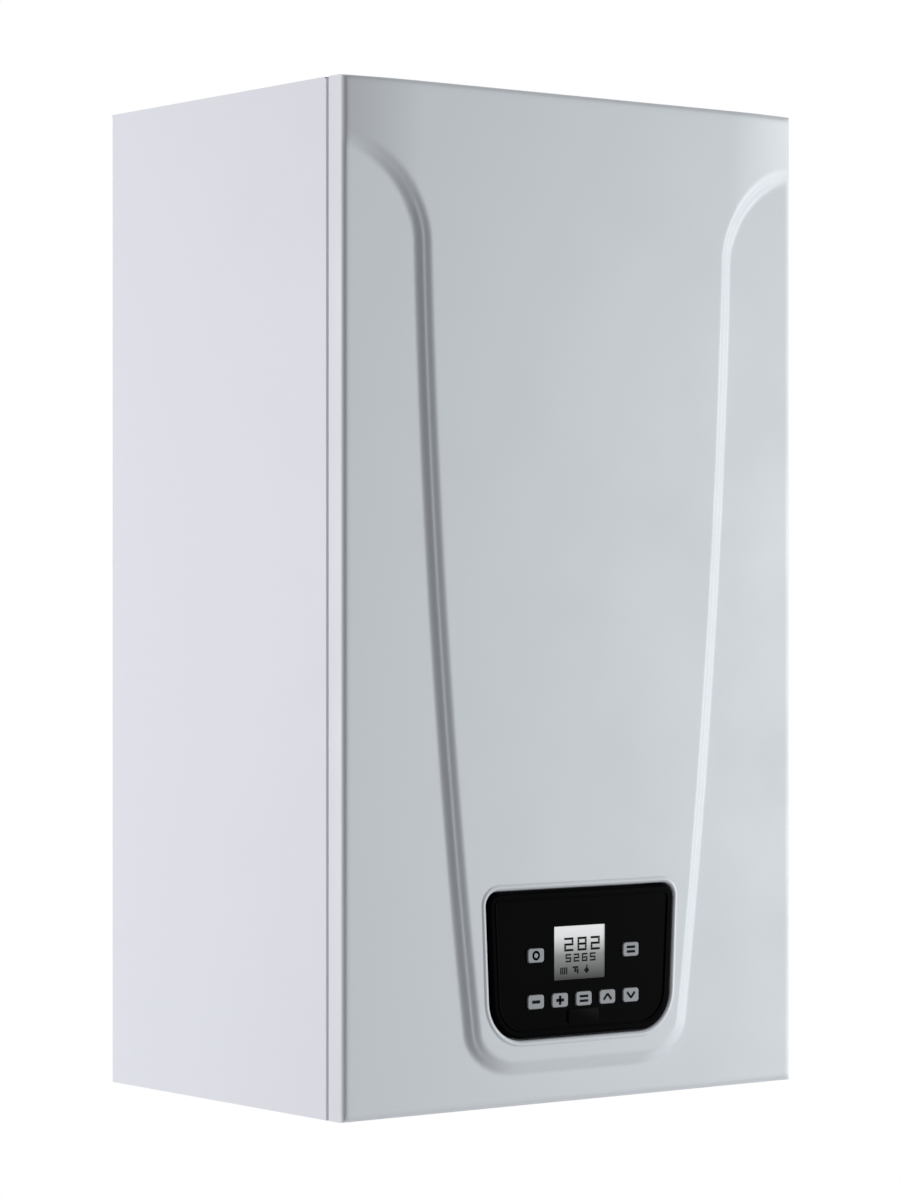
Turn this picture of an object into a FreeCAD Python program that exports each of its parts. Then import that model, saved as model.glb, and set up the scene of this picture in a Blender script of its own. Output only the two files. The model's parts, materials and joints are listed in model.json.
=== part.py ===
import FreeCAD, Part
import math
import os
import types
import Sketcher

# Wall-hung heating boiler. X points right, Y back into the wall, Z up.
# The origin is on the wall plane, midway between the two hanging holes.
# Places below are given as x, depth (out from the wall) and rise (up from the casing's bottom edge).

V = FreeCAD.Vector
DOC = FreeCAD.newDocument("HeatingBoiler")

SIZES = {
    # casing
    "casing_width": 400.0,
    "casing_height": 700.0,
    "hang_drop": 60.0,
    "sheet_thick": 1.2,
    "wall_gap": 3.0,
    "cover_depth": 290.0,
    "cover_flange": 14.0,
    "cover_edge_radius": 3.0,
    "seam_gap": 5.0,
    "lip_inset": 3.0,
    "lip_setback": 4.0,
    "panel_edge_radius": 1.5,
    "rear_return": 14.0,
    "fit_gap": 0.3,
    "run_gap": 0.05,
    "overrun": 2.0,
    # raised shield on the front cover
    "shield_proud": 6.0,
    "shield_flat_half": 125.0,
    "shoulder_drop": 112.0,
    "foot_shoulder_radius": 62.0,
    "crest_shoulder_radius": 71.0,
    "foot_side_half": 96.8,
    "foot_side_rise": 52.0,
    "foot_bottom_half": 61.2,
    "foot_bottom_rise": 21.0,
    "foot_corner_radius": 36.0,
    "foot_side_radius": 4600.0,
    "crest_side_half": 89.3,
    "crest_side_rise": 56.0,
    "crest_bottom_half": 59.6,
    "crest_bottom_rise": 30.0,
    "crest_corner_radius": 30.0,
    "crest_side_radius": 6400.0,
    # rails, back plate and base
    "rail_width": 340.0,
    "rail_height": 44.0,
    "hang_spacing": 260.0,
    "hang_hole_radius": 5.0,
    "hang_window_radius": 13.0,
    "lower_rail_rise": 90.0,
    "base_rise": 36.0,
    "base_setback": 22.0,
    "base_lip": 8.0,
    "back_plate_rise": 20.0,
    "bead_reach": 96.0,
    "bead_rise": 130.0,
    "bead_radius": 6.0,
    "bead_headroom": 100.0,
    "rail_corner": 5.0,
    # flue
    "flue_depth": 135.0,
    "flue_hole_radius": 46.0,
    "flue_radius": 30.0,
    "flue_wall": 1.5,
    "collar_radius": 50.0,
    "collar_wall": 2.0,
    "collar_height": 12.0,
    "collar_flange_radius": 62.0,
    # fittings under the base
    "fitting_depth": 75.0,
    "fitting_pitch": 65.0,
    "fitting_end": 2.0,
    "thread_length": 20.0,
    "nut_height": 8.0,
    "fitting_top": 60.0,
    "large_thread_radius": 13.2,
    "large_nut_radius": 18.0,
    "large_bore_radius": 9.0,
    "large_neck_radius": 11.5,
    "small_thread_radius": 10.48,
    "small_nut_radius": 15.0,
    "small_bore_radius": 7.0,
    "small_neck_radius": 9.5,
    "base_hole_gap": 1.5,
    # water groups
    "group_top": 150.0,
    "group_pipe_rise": 90.0,
    "group_pipe_radius": 20.0,
    "group_tower_radius": 18.0,
    "group_small_radius": 16.0,
    "group_port_radius": 14.0,
    "group_end": 150.0,
    "riser_x": 80.0,
    "shelf_thick": 15.0,
    "shelf_width": 50.0,
    "shelf_depth": 25.0,
    # plate heat exchanger
    "plates_width": 200.0,
    "plates_depth": 18.0,
    "plates_deep": 44.0,
    "plates_high": 65.0,
    "plates_corner": 12.0,
    "plate_groove": 1.8,
    # pump
    "pump_x": 120.0,
    "pump_rise": 110.0,
    "pump_back": 100.0,
    "volute_radius": 48.0,
    "volute_deep": 40.0,
    "volute_wall": 8.0,
    "volute_cavity_radius": 34.0,
    "pump_boss_radius": 22.0,
    "pump_motor_radius": 40.0,
    "pump_gap": 4.0,
    "can_groove": 2.0,
    "can_groove_margin": 8.0,
    "terminal_width": 50.0,
    "terminal_deep": 40.0,
    "terminal_high": 34.0,
    "terminal_setback": 12.0,
    "pump_shaft_radius": 5.0,
    "pump_shaft_cover": 22.0,
    "rotor_radius": 30.0,
    "rotor_deep": 16.0,
    "vent_radius": 14.0,
    "vent_height": 34.0,
    # expansion vessel
    "vessel_left_gap": 5.0,
    "vessel_width": 68.0,
    "vessel_deep": 220.0,
    "vessel_rise": 190.0,
    "vessel_headroom": 100.0,
    "vessel_radius": 28.0,
    "vessel_seam": 3.0,
    "vessel_wall": 1.5,
    "vessel_pipe_x": 140.0,
    "vessel_pipe_radius": 5.0,
    # primary heat exchanger
    "exchanger_radius": 96.0,
    "exchanger_wall": 3.0,
    "exchanger_rib": 4.0,
    "exchanger_rib_wide": 8.0,
    "exchanger_back": 45.0,
    "exchanger_deep": 133.0,
    "exchanger_stub_drop": 105.0,
    "exchanger_stub_radius": 11.0,
    "bracket_width": 140.0,
    "bracket_high": 130.0,
    "bracket_thick": 2.0,
    "door_radius": 98.0,
    "door_thick": 12.0,
    "door_rib_thick": 4.0,
    "door_rib_high": 6.0,
    "door_boss_radius": 34.0,
    "door_boss_deep": 15.0,
    "door_nut_pitch_radius": 87.0,
    "door_nut_across": 7.0,
    "door_nut_deep": 6.0,
    "flue_port_radius": 36.0,
    "flue_port_high": 112.0,
    # fan, manifold and gas train
    "fan_x": 40.0,
    "fan_back": 210.0,
    "fan_deep": 50.0,
    "scroll_start": 55.0,
    "fan_wall": 3.0,
    "fan_outlet_high": 64.0,
    "impeller_radius": 47.0,
    "impeller_eye_radius": 27.0,
    "impeller_gap": 7.0,
    "impeller_disc": 2.0,
    "blade_thick": 2.0,
    "blade_bow": 27.0,
    "socket_width": 18.0,
    "socket_deep": 14.0,
    "socket_high": 10.0,
    "fan_hub_radius": 10.0,
    "fan_shaft_radius": 4.0,
    "fan_shaft_length": 20.0,
    "fan_motor_radius": 30.0,
    "fan_motor_deep": 24.0,
    "manifold_radius": 26.0,
    "manifold_wall": 2.5,
    "manifold_bend": 28.0,
    "venturi_radius": 36.0,
    "venturi_deep": 30.0,
    "venturi_throat": 22.0,
    "valve_width": 56.0,
    "valve_deep": 64.0,
    "valve_high": 76.0,
    "valve_coil_radius": 14.0,
    "valve_coil_high": 22.0,
    "gas_pipe_radius": 9.0,
    "pipe_wall": 1.5,
    "feed_pipe_reach": 105.0,
    "feed_pipe_radius": 7.0,
    "feed_bend": 18.0,
    "feed_port_inset": 12.0,
    "water_pipe_radius": 9.0,
    # condensate trap
    "trap_depth": 140.0,
    "trap_radius": 28.0,
    "trap_rise": 70.0,
    "trap_top": 220.0,
    "trap_spigot_radius": 10.0,
    "trap_spigot_end": 8.0,
    "trap_spigot_length": 24.0,
    "trap_spigot_bore": 7.5,
    "trap_neck_radius": 11.0,
    "drain_radius": 8.0,
    # diverter, safety valve, filling tap, cable gland
    "diverter_rise": 110.0,
    "diverter_boss_end": 104.0,
    "diverter_boss_radius": 12.0,
    "stem_radius": 5.0,
    "stem_start": 86.0,
    "stem_length": 48.0,
    "stem_bore_start": 84.0,
    "diverter_motor_start": 112.0,
    "diverter_motor_width": 44.0,
    "diverter_motor_deep": 44.0,
    "diverter_bore_deep": 33.0,
    "safety_boss_end": 100.0,
    "safety_radius": 12.0,
    "safety_deep": 22.0,
    "safety_knob_radius": 15.0,
    "safety_knob_deep": 17.0,
    "knob_stem_radius": 4.0,
    "knob_stem_length": 14.0,
    "tap_x": 97.0,
    "tap_radius": 9.0,
    "tap_end": 30.0,
    "tap_knob_radius": 13.0,
    "tap_knob_deep": 19.0,
    "knob_notch_radius": 3.0,
    "gland_x": 175.0,
    "gland_depth": 180.0,
    "gland_radius": 8.0,
    "gland_bore": 5.0,
    "gland_nut_radius": 12.0,
    "gland_nut_high": 7.0,
    "gland_low": 20.0,
    "gland_top": 46.0,
    # control box
    "box_half": 150.0,
    "box_setback": 4.0,
    "box_deep": 60.0,
    "box_rise": 44.0,
    "box_high": 114.0,
    "box_wall": 2.5,
    "box_radius": 8.0,
    "vent_slot_width": 3.0,
    "vent_slot_high": 36.0,
    "vent_slot_pitch": 12.0,
    "hinge_setback": 10.0,
    "hinge_rise": 52.0,
    "hinge_pin_radius": 4.0,
    "hinge_side_gap": 1.0,
    "hinge_cheek": 3.0,
    "hinge_foot_deep": 30.0,
    "hinge_cheek_top": 60.0,
    # fascia, display and buttons
    "fascia_proud": 2.2,
    "fascia_top_half": 83.0,
    "fascia_bottom_half": 78.0,
    "fascia_bottom_rise": 47.0,
    "fascia_top_rise": 148.0,
    "fascia_top_radius": 9.0,
    "fascia_bottom_radius": 26.0,
    "fascia_edge_radius": 2.0,
    "fascia_wall": 2.5,
    "fascia_gap": 2.0,
    "rim_width": 4.5,
    "rim_deep": 0.5,
    "cutout_lip": 5.0,
    "window_width": 46.0,
    "window_high": 37.6,
    "window_rise": 104.2,
    "window_shift": 2.4,
    "window_inset": 1.2,
    "lcd_margin": 2.5,
    "lcd_deep": 6.0,
    "board_thick": 1.6,
    "board_margin": 8.0,
    "button_width": 14.0,
    "button_high": 9.8,
    "button_radius": 2.2,
    "button_edge": 0.5,
    "button_pitch": 21.2,
    "button_row_rise": 72.0,
    "button_side_rise": 104.0,
    "button_proud": 0.8,
    "button_flange": 1.2,
    "button_flange_thick": 1.6,
    "button_stroke_gap": 0.9,
}

BLADES = 12
DOOR_NUTS = 6
DOOR_RIBS = 12
EXCHANGER_RIBS = 6
PLATE_GROOVES = 9
KNOB_NOTCHES = 6
CAN_GROOVES = 20
VENT_SLOTS = 12
FULL_TURN = 360.0

# how high up the casing the main inner pieces hang, as shares of its height
EXCHANGER_SHARE = 5 / 7
FAN_SHARE = 13 / 28
VALVE_SHARE = 131 / 350

SHEET = DOC.addObject("Spreadsheet::Sheet", "Sizes")
for row, (alias, number) in enumerate(SIZES.items(), start=1):
    SHEET.set(f"A{row}", alias)
    SHEET.set(f"B{row}", str(number))
    SHEET.setAlias(f"B{row}", alias)
DOC.recompute()


class Size:
    """A length: its value in mm, and the sheet formula that gives it."""

    def __init__(self, text, value):
        self.text = text
        self.value = value

    def __add__(self, other):
        other = as_size(other)
        return Size(f"({self.text} + {other.text})", self.value + other.value)

    def __sub__(self, other):
        other = as_size(other)
        return Size(f"({self.text} - {other.text})", self.value - other.value)

    def __mul__(self, other):
        other = as_size(other)
        return Size(f"({self.text} * {other.text})", self.value * other.value)

    def __truediv__(self, other):
        other = as_size(other)
        return Size(f"({self.text} / {other.text})", self.value / other.value)

    def __rmul__(self, other):
        return as_size(other) * self

    def __neg__(self):
        return as_size(0) - self


def as_size(number):
    return number if isinstance(number, Size) else Size(repr(float(number)), float(number))


S = types.SimpleNamespace(**{alias: Size(f"Sizes.{alias}", number) for alias, number in SIZES.items()})

HALF = S.casing_width / 2
INNER = HALF - S.sheet_thick
BACK = S.wall_gap + 2 * S.sheet_thick
COVER_BACK = S.cover_depth - S.cover_flange
PANEL_FRONT = COVER_BACK - S.seam_gap
LIP_FRONT = S.cover_depth - S.lip_setback
ROOF = S.casing_height - S.sheet_thick
BASE_TOP = S.base_rise + S.sheet_thick
BASE_FRONT = S.cover_depth - S.base_setback
SHIELD_DEPTH = S.cover_depth + S.shield_proud
FASCIA_FRONT = SHIELD_DEPTH + S.fascia_proud
FASCIA_WALL_BACK = FASCIA_FRONT - S.fascia_wall
HANG_RISE = S.casing_height - S.hang_drop
PUMP_FRONT = S.pump_back + S.volute_deep
FAN_FRONT = S.fan_back + S.fan_deep
FAN_MID = S.fan_back + S.fan_deep / 2
DOOR_BACK = S.exchanger_back + S.exchanger_deep
DOOR_FRONT = DOOR_BACK + S.door_thick
SHOULDER_RISE = S.casing_height - S.shoulder_drop
BOX_FRONT = S.cover_depth - S.box_setback
BOX_BACK = BOX_FRONT - S.box_deep
HINGE_DEPTH = S.cover_depth - S.hinge_setback
PUMP_MOTOR_DEEP = BOX_BACK - S.pump_gap - PUMP_FRONT
PUMP_SHAFT_LENGTH = PUMP_MOTOR_DEEP - S.pump_shaft_cover
EXCHANGER_RISE = S.casing_height * EXCHANGER_SHARE
STUB_END = EXCHANGER_RISE - S.exchanger_stub_drop
FLUE_PORT_TOP = EXCHANGER_RISE + S.flue_port_high
FAN_RISE = S.casing_height * FAN_SHARE
VALVE_RISE = S.casing_height * VALVE_SHARE
VESSEL_HIGH = S.casing_height - S.vessel_rise - S.vessel_headroom

TURNS = {
    "up": FreeCAD.Rotation(),
    "forward": FreeCAD.Rotation(V(1, 0, 0), 90),
    "right": FreeCAD.Rotation(V(0, 1, 0), 90),
}
NODES = {}


def bind(thing, path, size):
    thing.setExpression(path, as_size(size).text)


def place(thing, x, depth, rise, along="up"):
    """Puts a thing at x, depth out from the wall and rise above the casing's bottom edge."""
    thing.Placement = FreeCAD.Placement(V(0, 0, 0), TURNS[along])
    bind(thing, "Placement.Base.x", x)
    bind(thing, "Placement.Base.y", -as_size(depth))
    bind(thing, "Placement.Base.z", as_size(rise) - HANG_RISE)


def node(label, thing):
    thing.Label = label
    NODES[label] = thing
    return thing


def block(x, depth, rise, width, deep, high):
    """A box whose x, depth and rise are its lowest ones."""
    thing = DOC.addObject("Part::Box", "Block")
    bind(thing, "Length", width)
    bind(thing, "Width", deep)
    bind(thing, "Height", high)
    place(thing, x, as_size(depth) + deep, rise)
    return thing


def rod(x, depth, rise, radius, length, along="up"):
    thing = DOC.addObject("Part::Cylinder", "Rod")
    bind(thing, "Radius", radius)
    bind(thing, "Height", length)
    place(thing, x, depth, rise, along)
    return thing


def hexagon(x, depth, rise, radius, length, along="up"):
    thing = DOC.addObject("Part::Prism", "Hexagon")
    thing.Polygon = 6
    bind(thing, "Circumradius", radius)
    bind(thing, "Height", length)
    place(thing, x, depth, rise, along)
    return thing


def join(*things):
    whole = DOC.addObject("Part::MultiFuse", "Join")
    whole.Shapes = list(things)
    return whole


def less(base, *tools):
    whole = DOC.addObject("Part::Cut", "Less")
    whole.Base = base
    whole.Tool = tools[0] if len(tools) == 1 else join(*tools)
    return whole


def shared(first, second):
    whole = DOC.addObject("Part::Common", "Shared")
    whole.Base = first
    whole.Tool = second
    return whole


def tube(x, depth, rise, radius, wall, length, along="up"):
    outer = rod(x, depth, rise, radius, length, along)
    return less(outer, rod(x, depth, rise, radius - wall, length, along))


def rounded(thing, radius, chosen):
    """Rounds the edges that the chosen test picks."""
    DOC.recompute()
    soft = DOC.addObject("Part::Fillet", "Rounded")
    soft.Base = thing
    picked = [i for i, edge in enumerate(thing.Shape.Edges, start=1) if chosen(edge)]
    soft.Edges = [(i, radius.value, radius.value) for i in picked]
    return soft


def runs_along(edge, way):
    """Is the edge straight, and along this unit vector?"""
    if edge.Curve.TypeId != "Part::GeomLine":
        return False
    return abs(edge.tangentAt(edge.FirstParameter).dot(way)) > math.cos(math.radians(1))


def at_depth(edge, depth):
    """Does the whole edge lie at this depth?"""
    box = edge.BoundBox
    return abs(box.YMin + depth.value) < S.run_gap.value and box.YLength < S.run_gap.value


def body(x=0, depth=0, rise=0, along="up"):
    whole = DOC.addObject("PartDesign::Body", "Body")
    place(whole, x, depth, rise, along)
    return whole


def sketch(owner, plane, lift=0):
    """An empty sketch on one of the body's own planes, lifted along the plane's normal."""
    page = owner.newObject("Sketcher::SketchObject", "Sketch")
    flat = next(f for f in owner.Origin.OriginFeatures if f.Role == plane)
    page.AttachmentSupport = [(flat, "")]
    page.MapMode = "FlatFace"
    bind(page, "AttachmentOffset.Base.z", lift)
    return page


def outline(page, points, bows=None):
    """A closed outline through points. bows gives, for a run's number, its arc's radius and bulge side."""
    bows = bows or {}
    count = len(points)
    ends = [V(as_size(a).value, as_size(b).value, 0) for a, b in points]
    first = page.GeometryCount
    for i, start in enumerate(ends):
        stop = ends[(i + 1) % count]
        if i in bows:
            radius, side = bows[i]
            page.addGeometry(Part.Arc(start, bow_middle(start, stop, radius.value, side), stop), False)
        else:
            page.addGeometry(Part.LineSegment(start, stop), False)

    def end(run, target):
        return 1 if page.getPoint(first + run, 1).isEqual(target, S.run_gap.value) else 2

    for i in range(count):
        after = (i + 1) % count
        joint = ends[after]
        page.addConstraint(
            Sketcher.Constraint("Coincident", first + i, end(i, joint), first + after, end(after, joint))
        )
    for i, (a, b) in enumerate(points):
        for kind, size in (("DistanceX", a), ("DistanceY", b)):
            size = as_size(size)
            held = page.addConstraint(
                Sketcher.Constraint(kind, -1, 1, first + i, end(i, ends[i]), size.value)
            )
            bind(page, f"Constraints[{held}]", size)
    for i, (radius, side) in bows.items():
        held = page.addConstraint(Sketcher.Constraint("Radius", first + i, radius.value))
        bind(page, f"Constraints[{held}]", radius)
    return page


def bow_middle(start, stop, radius, side):
    """The middle point of an arc from start to stop, bulging to the left (1) or right (-1) of the way."""
    way = stop - start
    half = way.Length / 2
    bulge = radius - math.sqrt(radius * radius - half * half)
    across = V(-way.y, way.x, 0).normalize()
    return (start + stop) * 0.5 + across * (bulge * side)


def circle(page, a, b, radius):
    middle = V(as_size(a).value, as_size(b).value, 0)
    held = page.addGeometry(Part.Circle(middle, V(0, 0, 1), radius.value), False)
    for kind, size in (("DistanceX", as_size(a)), ("DistanceY", as_size(b))):
        mark = page.addConstraint(Sketcher.Constraint(kind, -1, 1, held, 3, size.value))
        bind(page, f"Constraints[{mark}]", size)
    mark = page.addConstraint(Sketcher.Constraint("Radius", held, radius.value))
    bind(page, f"Constraints[{mark}]", radius)
    return page


def pad(owner, page, length):
    feature = owner.newObject("PartDesign::Pad", "Pad")
    feature.Profile = page
    bind(feature, "Length", length)
    return feature


def soften(owner, radius, chosen):
    """Rounds the edges of the body so far that the chosen test picks."""
    DOC.recompute()
    base = owner.Tip
    feature = owner.newObject("PartDesign::Fillet", "Fillet")
    feature.Base = (base, [f"Edge{i}" for i, edge in enumerate(base.Shape.Edges, start=1) if chosen(edge)])
    bind(feature, "Radius", radius)
    return feature


def turned(x, depth, rise, profile, along="up"):
    """A turned piece: its half profile of radius and height points, spun round its own axis."""
    whole = body(x, depth, rise, along)
    page = outline(sketch(whole, "XZ_Plane"), profile)
    spin = whole.newObject("PartDesign::Revolution", "Revolution")
    spin.Profile = page
    spin.ReferenceAxis = (page, ["V_Axis"])
    spin.Angle = FULL_TURN
    return whole


def ring_of(owner, feature, page, count):
    """Repeats a body's feature evenly round its sketch's normal."""
    DOC.recompute()
    ring = owner.newObject("PartDesign::PolarPattern", "Ring")
    ring.Originals = [feature]
    ring.Axis = (page, ["N_Axis"])
    ring.Angle = FULL_TURN
    ring.Occurrences = count
    owner.Tip = ring
    return ring


def in_plan(points):
    """Turns x and depth pairs into a plan sketch's own axes."""
    return [(x, -as_size(depth)) for x, depth in points]


def bent_pipe(points, radius, wall, bend):
    """A pipe along straight runs joined by arcs of one bend radius."""
    corners = [
        V(as_size(x).value, -as_size(depth).value, (as_size(rise) - HANG_RISE).value)
        for x, depth, rise in points
    ]
    edges = []
    start = corners[0]
    for before, corner, after in zip(corners, corners[1:], corners[2:]):
        come = (corner - before).normalize()
        leave = (after - corner).normalize()
        half_turn = come.getAngle(leave) / 2
        cut_back = bend.value * math.tan(half_turn)
        first = corner - come * cut_back
        last = corner + leave * cut_back
        inward = (leave - come).normalize()
        middle = corner + inward * (bend.value / math.cos(half_turn) - bend.value)
        edges.append(Part.LineSegment(start, first).toShape())
        edges.append(Part.Arc(first, middle, last).toShape())
        start = last
    edges.append(Part.LineSegment(start, corners[-1]).toShape())
    path = Part.Wire(edges)
    way = (corners[1] - corners[0]).normalize()
    skins = [
        path.makePipeShell([Part.Wire(Part.Circle(corners[0], way, size).toShape())], True, False)
        for size in (radius.value, (radius - wall).value)
    ]
    thing = DOC.addObject("Part::Feature", "BentPipe")
    thing.Shape = skins[0].cut(skins[1])
    return thing


def hanging_rail():
    low = HANG_RISE - S.rail_height / 2
    plate = block(-S.rail_width / 2, 0, low, S.rail_width, BACK - S.sheet_thick, S.rail_height)
    plate = rounded(plate, S.rail_corner, lambda edge: runs_along(edge, V(0, 1, 0)))
    holes = [
        rod(side * S.hang_spacing / 2, 0, HANG_RISE, S.hang_hole_radius, BACK, "forward")
        for side in (-1, 1)
    ]
    node("hanging_rail", less(plate, *holes))


def lower_rail():
    bar = block(
        -S.rail_width / 2, 0, S.lower_rail_rise, S.rail_width, BACK - S.sheet_thick, S.rail_height / 2
    )
    node("lower_rail", rounded(bar, S.rail_corner, lambda edge: runs_along(edge, V(0, 1, 0))))


def back_plate():
    """Flat sheet with two upright beads pressed into the casing, hollow from behind."""
    half = INNER - S.fit_gap
    face = BACK - S.sheet_thick
    plate = block(-half, face, S.back_plate_rise, 2 * half, S.sheet_thick, ROOF - S.back_plate_rise)
    windows = [
        rod(side * S.hang_spacing / 2, 0, HANG_RISE, S.hang_window_radius, BACK, "forward")
        for side in (-1, 1)
    ]
    length = S.casing_height - S.bead_headroom - S.bead_rise
    ridges = []
    hollows = []
    for side in (-1, 1):
        x = side * S.bead_reach
        ridges.append(rod(x, face, S.bead_rise, S.bead_radius, length))
        hollows.append(
            rod(
                x,
                face,
                S.bead_rise + S.sheet_thick,
                S.bead_radius - S.sheet_thick,
                length - 2 * S.sheet_thick,
            )
        )
    behind = block(-half, face - S.bead_radius, S.bead_rise, 2 * half, S.bead_radius, length)
    node("back_plate", less(join(plate, *ridges), behind, *hollows, *windows))


def side_panel(label, side):
    """A folded sheet: skin, return at the wall, and a joggled lip that goes under the cover's flange."""
    skin = S.sheet_thick
    lip = HALF - S.lip_inset
    points = [
        (HALF - S.rear_return, S.wall_gap),
        (HALF, S.wall_gap),
        (HALF, PANEL_FRONT),
        (lip, PANEL_FRONT + S.lip_inset),
        (lip, LIP_FRONT),
        (lip - skin, LIP_FRONT),
        (lip - skin, PANEL_FRONT + S.lip_inset - skin / 2),
        (INNER, PANEL_FRONT - skin / 2),
        (INNER, S.wall_gap + skin),
        (HALF - S.rear_return, S.wall_gap + skin),
    ]
    whole = body()
    pad(whole, outline(sketch(whole, "XY_Plane"), in_plan([(x * side, d) for x, d in points])), ROOF)

    def outer_fold(edge):
        box = edge.BoundBox
        return runs_along(edge, V(0, 0, 1)) and abs(abs(box.XMin) - HALF.value) < S.run_gap.value

    soften(whole, S.panel_edge_radius, outer_fold)
    room = S.lip_inset + skin + S.overrun
    notch_depth = COVER_BACK - S.fit_gap
    notch = block(
        HALF - room if side > 0 else -HALF,
        notch_depth,
        -S.overrun,
        room,
        LIP_FRONT + S.overrun - notch_depth,
        skin + S.fit_gap + S.overrun,
    )
    node(label, less(whole, notch))


def top_panel():
    """Roof sheet with a joggled front lip, cut narrower where the side panels' lips pass."""
    skin = S.sheet_thick
    points = [
        (S.wall_gap, S.casing_height),
        (PANEL_FRONT, S.casing_height),
        (PANEL_FRONT + S.lip_inset, S.casing_height - S.lip_inset),
        (LIP_FRONT, S.casing_height - S.lip_inset),
        (LIP_FRONT, ROOF - S.lip_inset),
        (PANEL_FRONT + S.lip_inset - skin / 2, ROOF - S.lip_inset),
        (PANEL_FRONT - skin / 2, ROOF),
        (S.wall_gap, ROOF),
    ]
    whole = body()
    page = sketch(whole, "YZ_Plane", -HALF)
    pad(whole, outline(page, [(-d, rise) for d, rise in points]), S.casing_width)
    soften(
        whole,
        S.panel_edge_radius / 2,
        lambda edge: runs_along(edge, V(1, 0, 0))
        and abs(edge.BoundBox.YMin + PANEL_FRONT.value) < S.run_gap.value,
    )
    notch_width = S.lip_inset + S.sheet_thick + S.fit_gap
    notch_start = PANEL_FRONT - S.sheet_thick
    notch_deep = LIP_FRONT + S.overrun - notch_start
    notch_low = ROOF - S.lip_inset - S.overrun
    notch_high = S.lip_inset + S.sheet_thick * 2 + S.overrun
    notches = [
        block(x, notch_start, notch_low, notch_width, notch_deep, notch_high)
        for x in (-HALF, HALF - notch_width)
    ]
    flue_hole = rod(0, S.flue_depth, ROOF - S.overrun, S.flue_hole_radius, S.sheet_thick + 2 * S.overrun)
    node("top_panel", less(whole, flue_hole, *notches))


def base_panel():
    """Floor sheet with an upturned front lip and the holes for what passes through it."""
    half = INNER - S.fit_gap
    floor = block(-half, BACK, S.base_rise, 2 * half, BASE_FRONT - BACK, S.sheet_thick)
    lip_back = BASE_FRONT - S.sheet_thick
    lip = block(-half, lip_back, S.base_rise - S.base_lip, 2 * half, S.sheet_thick, S.base_lip)
    large = S.large_neck_radius + S.base_hole_gap
    small = S.small_neck_radius + S.base_hole_gap
    places = [
        (-2 * S.fitting_pitch, S.fitting_depth, large),
        (-S.fitting_pitch, S.fitting_depth, small),
        (0, S.fitting_depth, large),
        (S.fitting_pitch, S.fitting_depth, small),
        (2 * S.fitting_pitch, S.fitting_depth, large),
        (S.tap_x, S.fitting_depth, S.tap_radius + S.base_hole_gap),
        (0, S.trap_depth, S.trap_neck_radius + S.base_hole_gap),
        (S.gland_x, S.gland_depth, S.gland_radius + S.fit_gap),
    ]
    holes = [
        rod(x, depth, S.base_rise - S.overrun, radius, S.sheet_thick + 2 * S.overrun)
        for x, depth, radius in places
    ]
    node("base_panel", less(join(floor, lip), *holes))


def flue():
    """Air collar on the roof, with the flue duct standing up through its middle."""
    flange = rod(0, S.flue_depth, S.casing_height, S.collar_flange_radius, S.collar_wall)
    ring = rod(0, S.flue_depth, S.casing_height, S.collar_radius, S.collar_height)
    opening = rod(0, S.flue_depth, S.casing_height, S.collar_radius - S.collar_wall, S.collar_height)
    node("air_collar", less(join(flange, ring), opening))
    top = S.casing_height + S.collar_height
    node(
        "flue_duct",
        tube(
            0, S.flue_depth, FLUE_PORT_TOP, S.flue_radius + S.flue_wall, S.flue_wall, top - FLUE_PORT_TOP
        ),
    )


def fitting(label, x, thread, nut, bore, neck):
    """A union end: thread at the bottom, nut, and a neck up through the base."""
    shoulder = S.fitting_end + S.thread_length
    profile = [
        (bore, S.fitting_end),
        (thread, S.fitting_end),
        (thread, shoulder),
        (bore, shoulder),
    ]
    end = turned(x, S.fitting_depth, 0, profile)
    collar = less(
        hexagon(x, S.fitting_depth, shoulder, nut, S.nut_height),
        rod(x, S.fitting_depth, shoulder, bore, S.nut_height),
    )
    neck_low = shoulder + S.nut_height
    shank = tube(x, S.fitting_depth, neck_low, neck, neck - bore, S.fitting_top - neck_low)
    node(label, join(end, collar, shank))


def fittings():
    large = (S.large_thread_radius, S.large_nut_radius, S.large_bore_radius, S.large_neck_radius)
    small = (S.small_thread_radius, S.small_nut_radius, S.small_bore_radius, S.small_neck_radius)
    fitting("flow_fitting", -2 * S.fitting_pitch, *large)
    fitting("hot_water_fitting", -S.fitting_pitch, *small)
    fitting("gas_fitting", as_size(0), *large)
    fitting("cold_water_fitting", S.fitting_pitch, *small)
    fitting("return_fitting", 2 * S.fitting_pitch, *large)


def group_core(side):
    """The casting shared by both water groups: two towers, a cross pipe, a riser port and a shelf."""
    high = S.group_top - S.fitting_top
    cross = S.group_end - S.fitting_pitch
    shelf_x = S.fitting_pitch - S.shelf_thick
    return [
        rod(side * 2 * S.fitting_pitch, S.fitting_depth, S.fitting_top, S.group_tower_radius, high),
        rod(side * S.fitting_pitch, S.fitting_depth, S.fitting_top, S.group_small_radius, high),
        rod(
            S.fitting_pitch if side > 0 else -S.group_end,
            S.fitting_depth,
            S.group_pipe_rise,
            S.group_pipe_radius,
            cross,
            "right",
        ),
        rod(
            side * S.riser_x,
            S.fitting_depth,
            S.group_pipe_rise,
            S.group_port_radius,
            S.group_top - S.group_pipe_rise,
        ),
        block(
            shelf_x if side > 0 else -shelf_x - S.shelf_width,
            S.shelf_depth,
            S.group_top - S.shelf_thick,
            S.shelf_width,
            S.fitting_depth - S.shelf_depth,
            S.shelf_thick,
        ),
    ]


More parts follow.
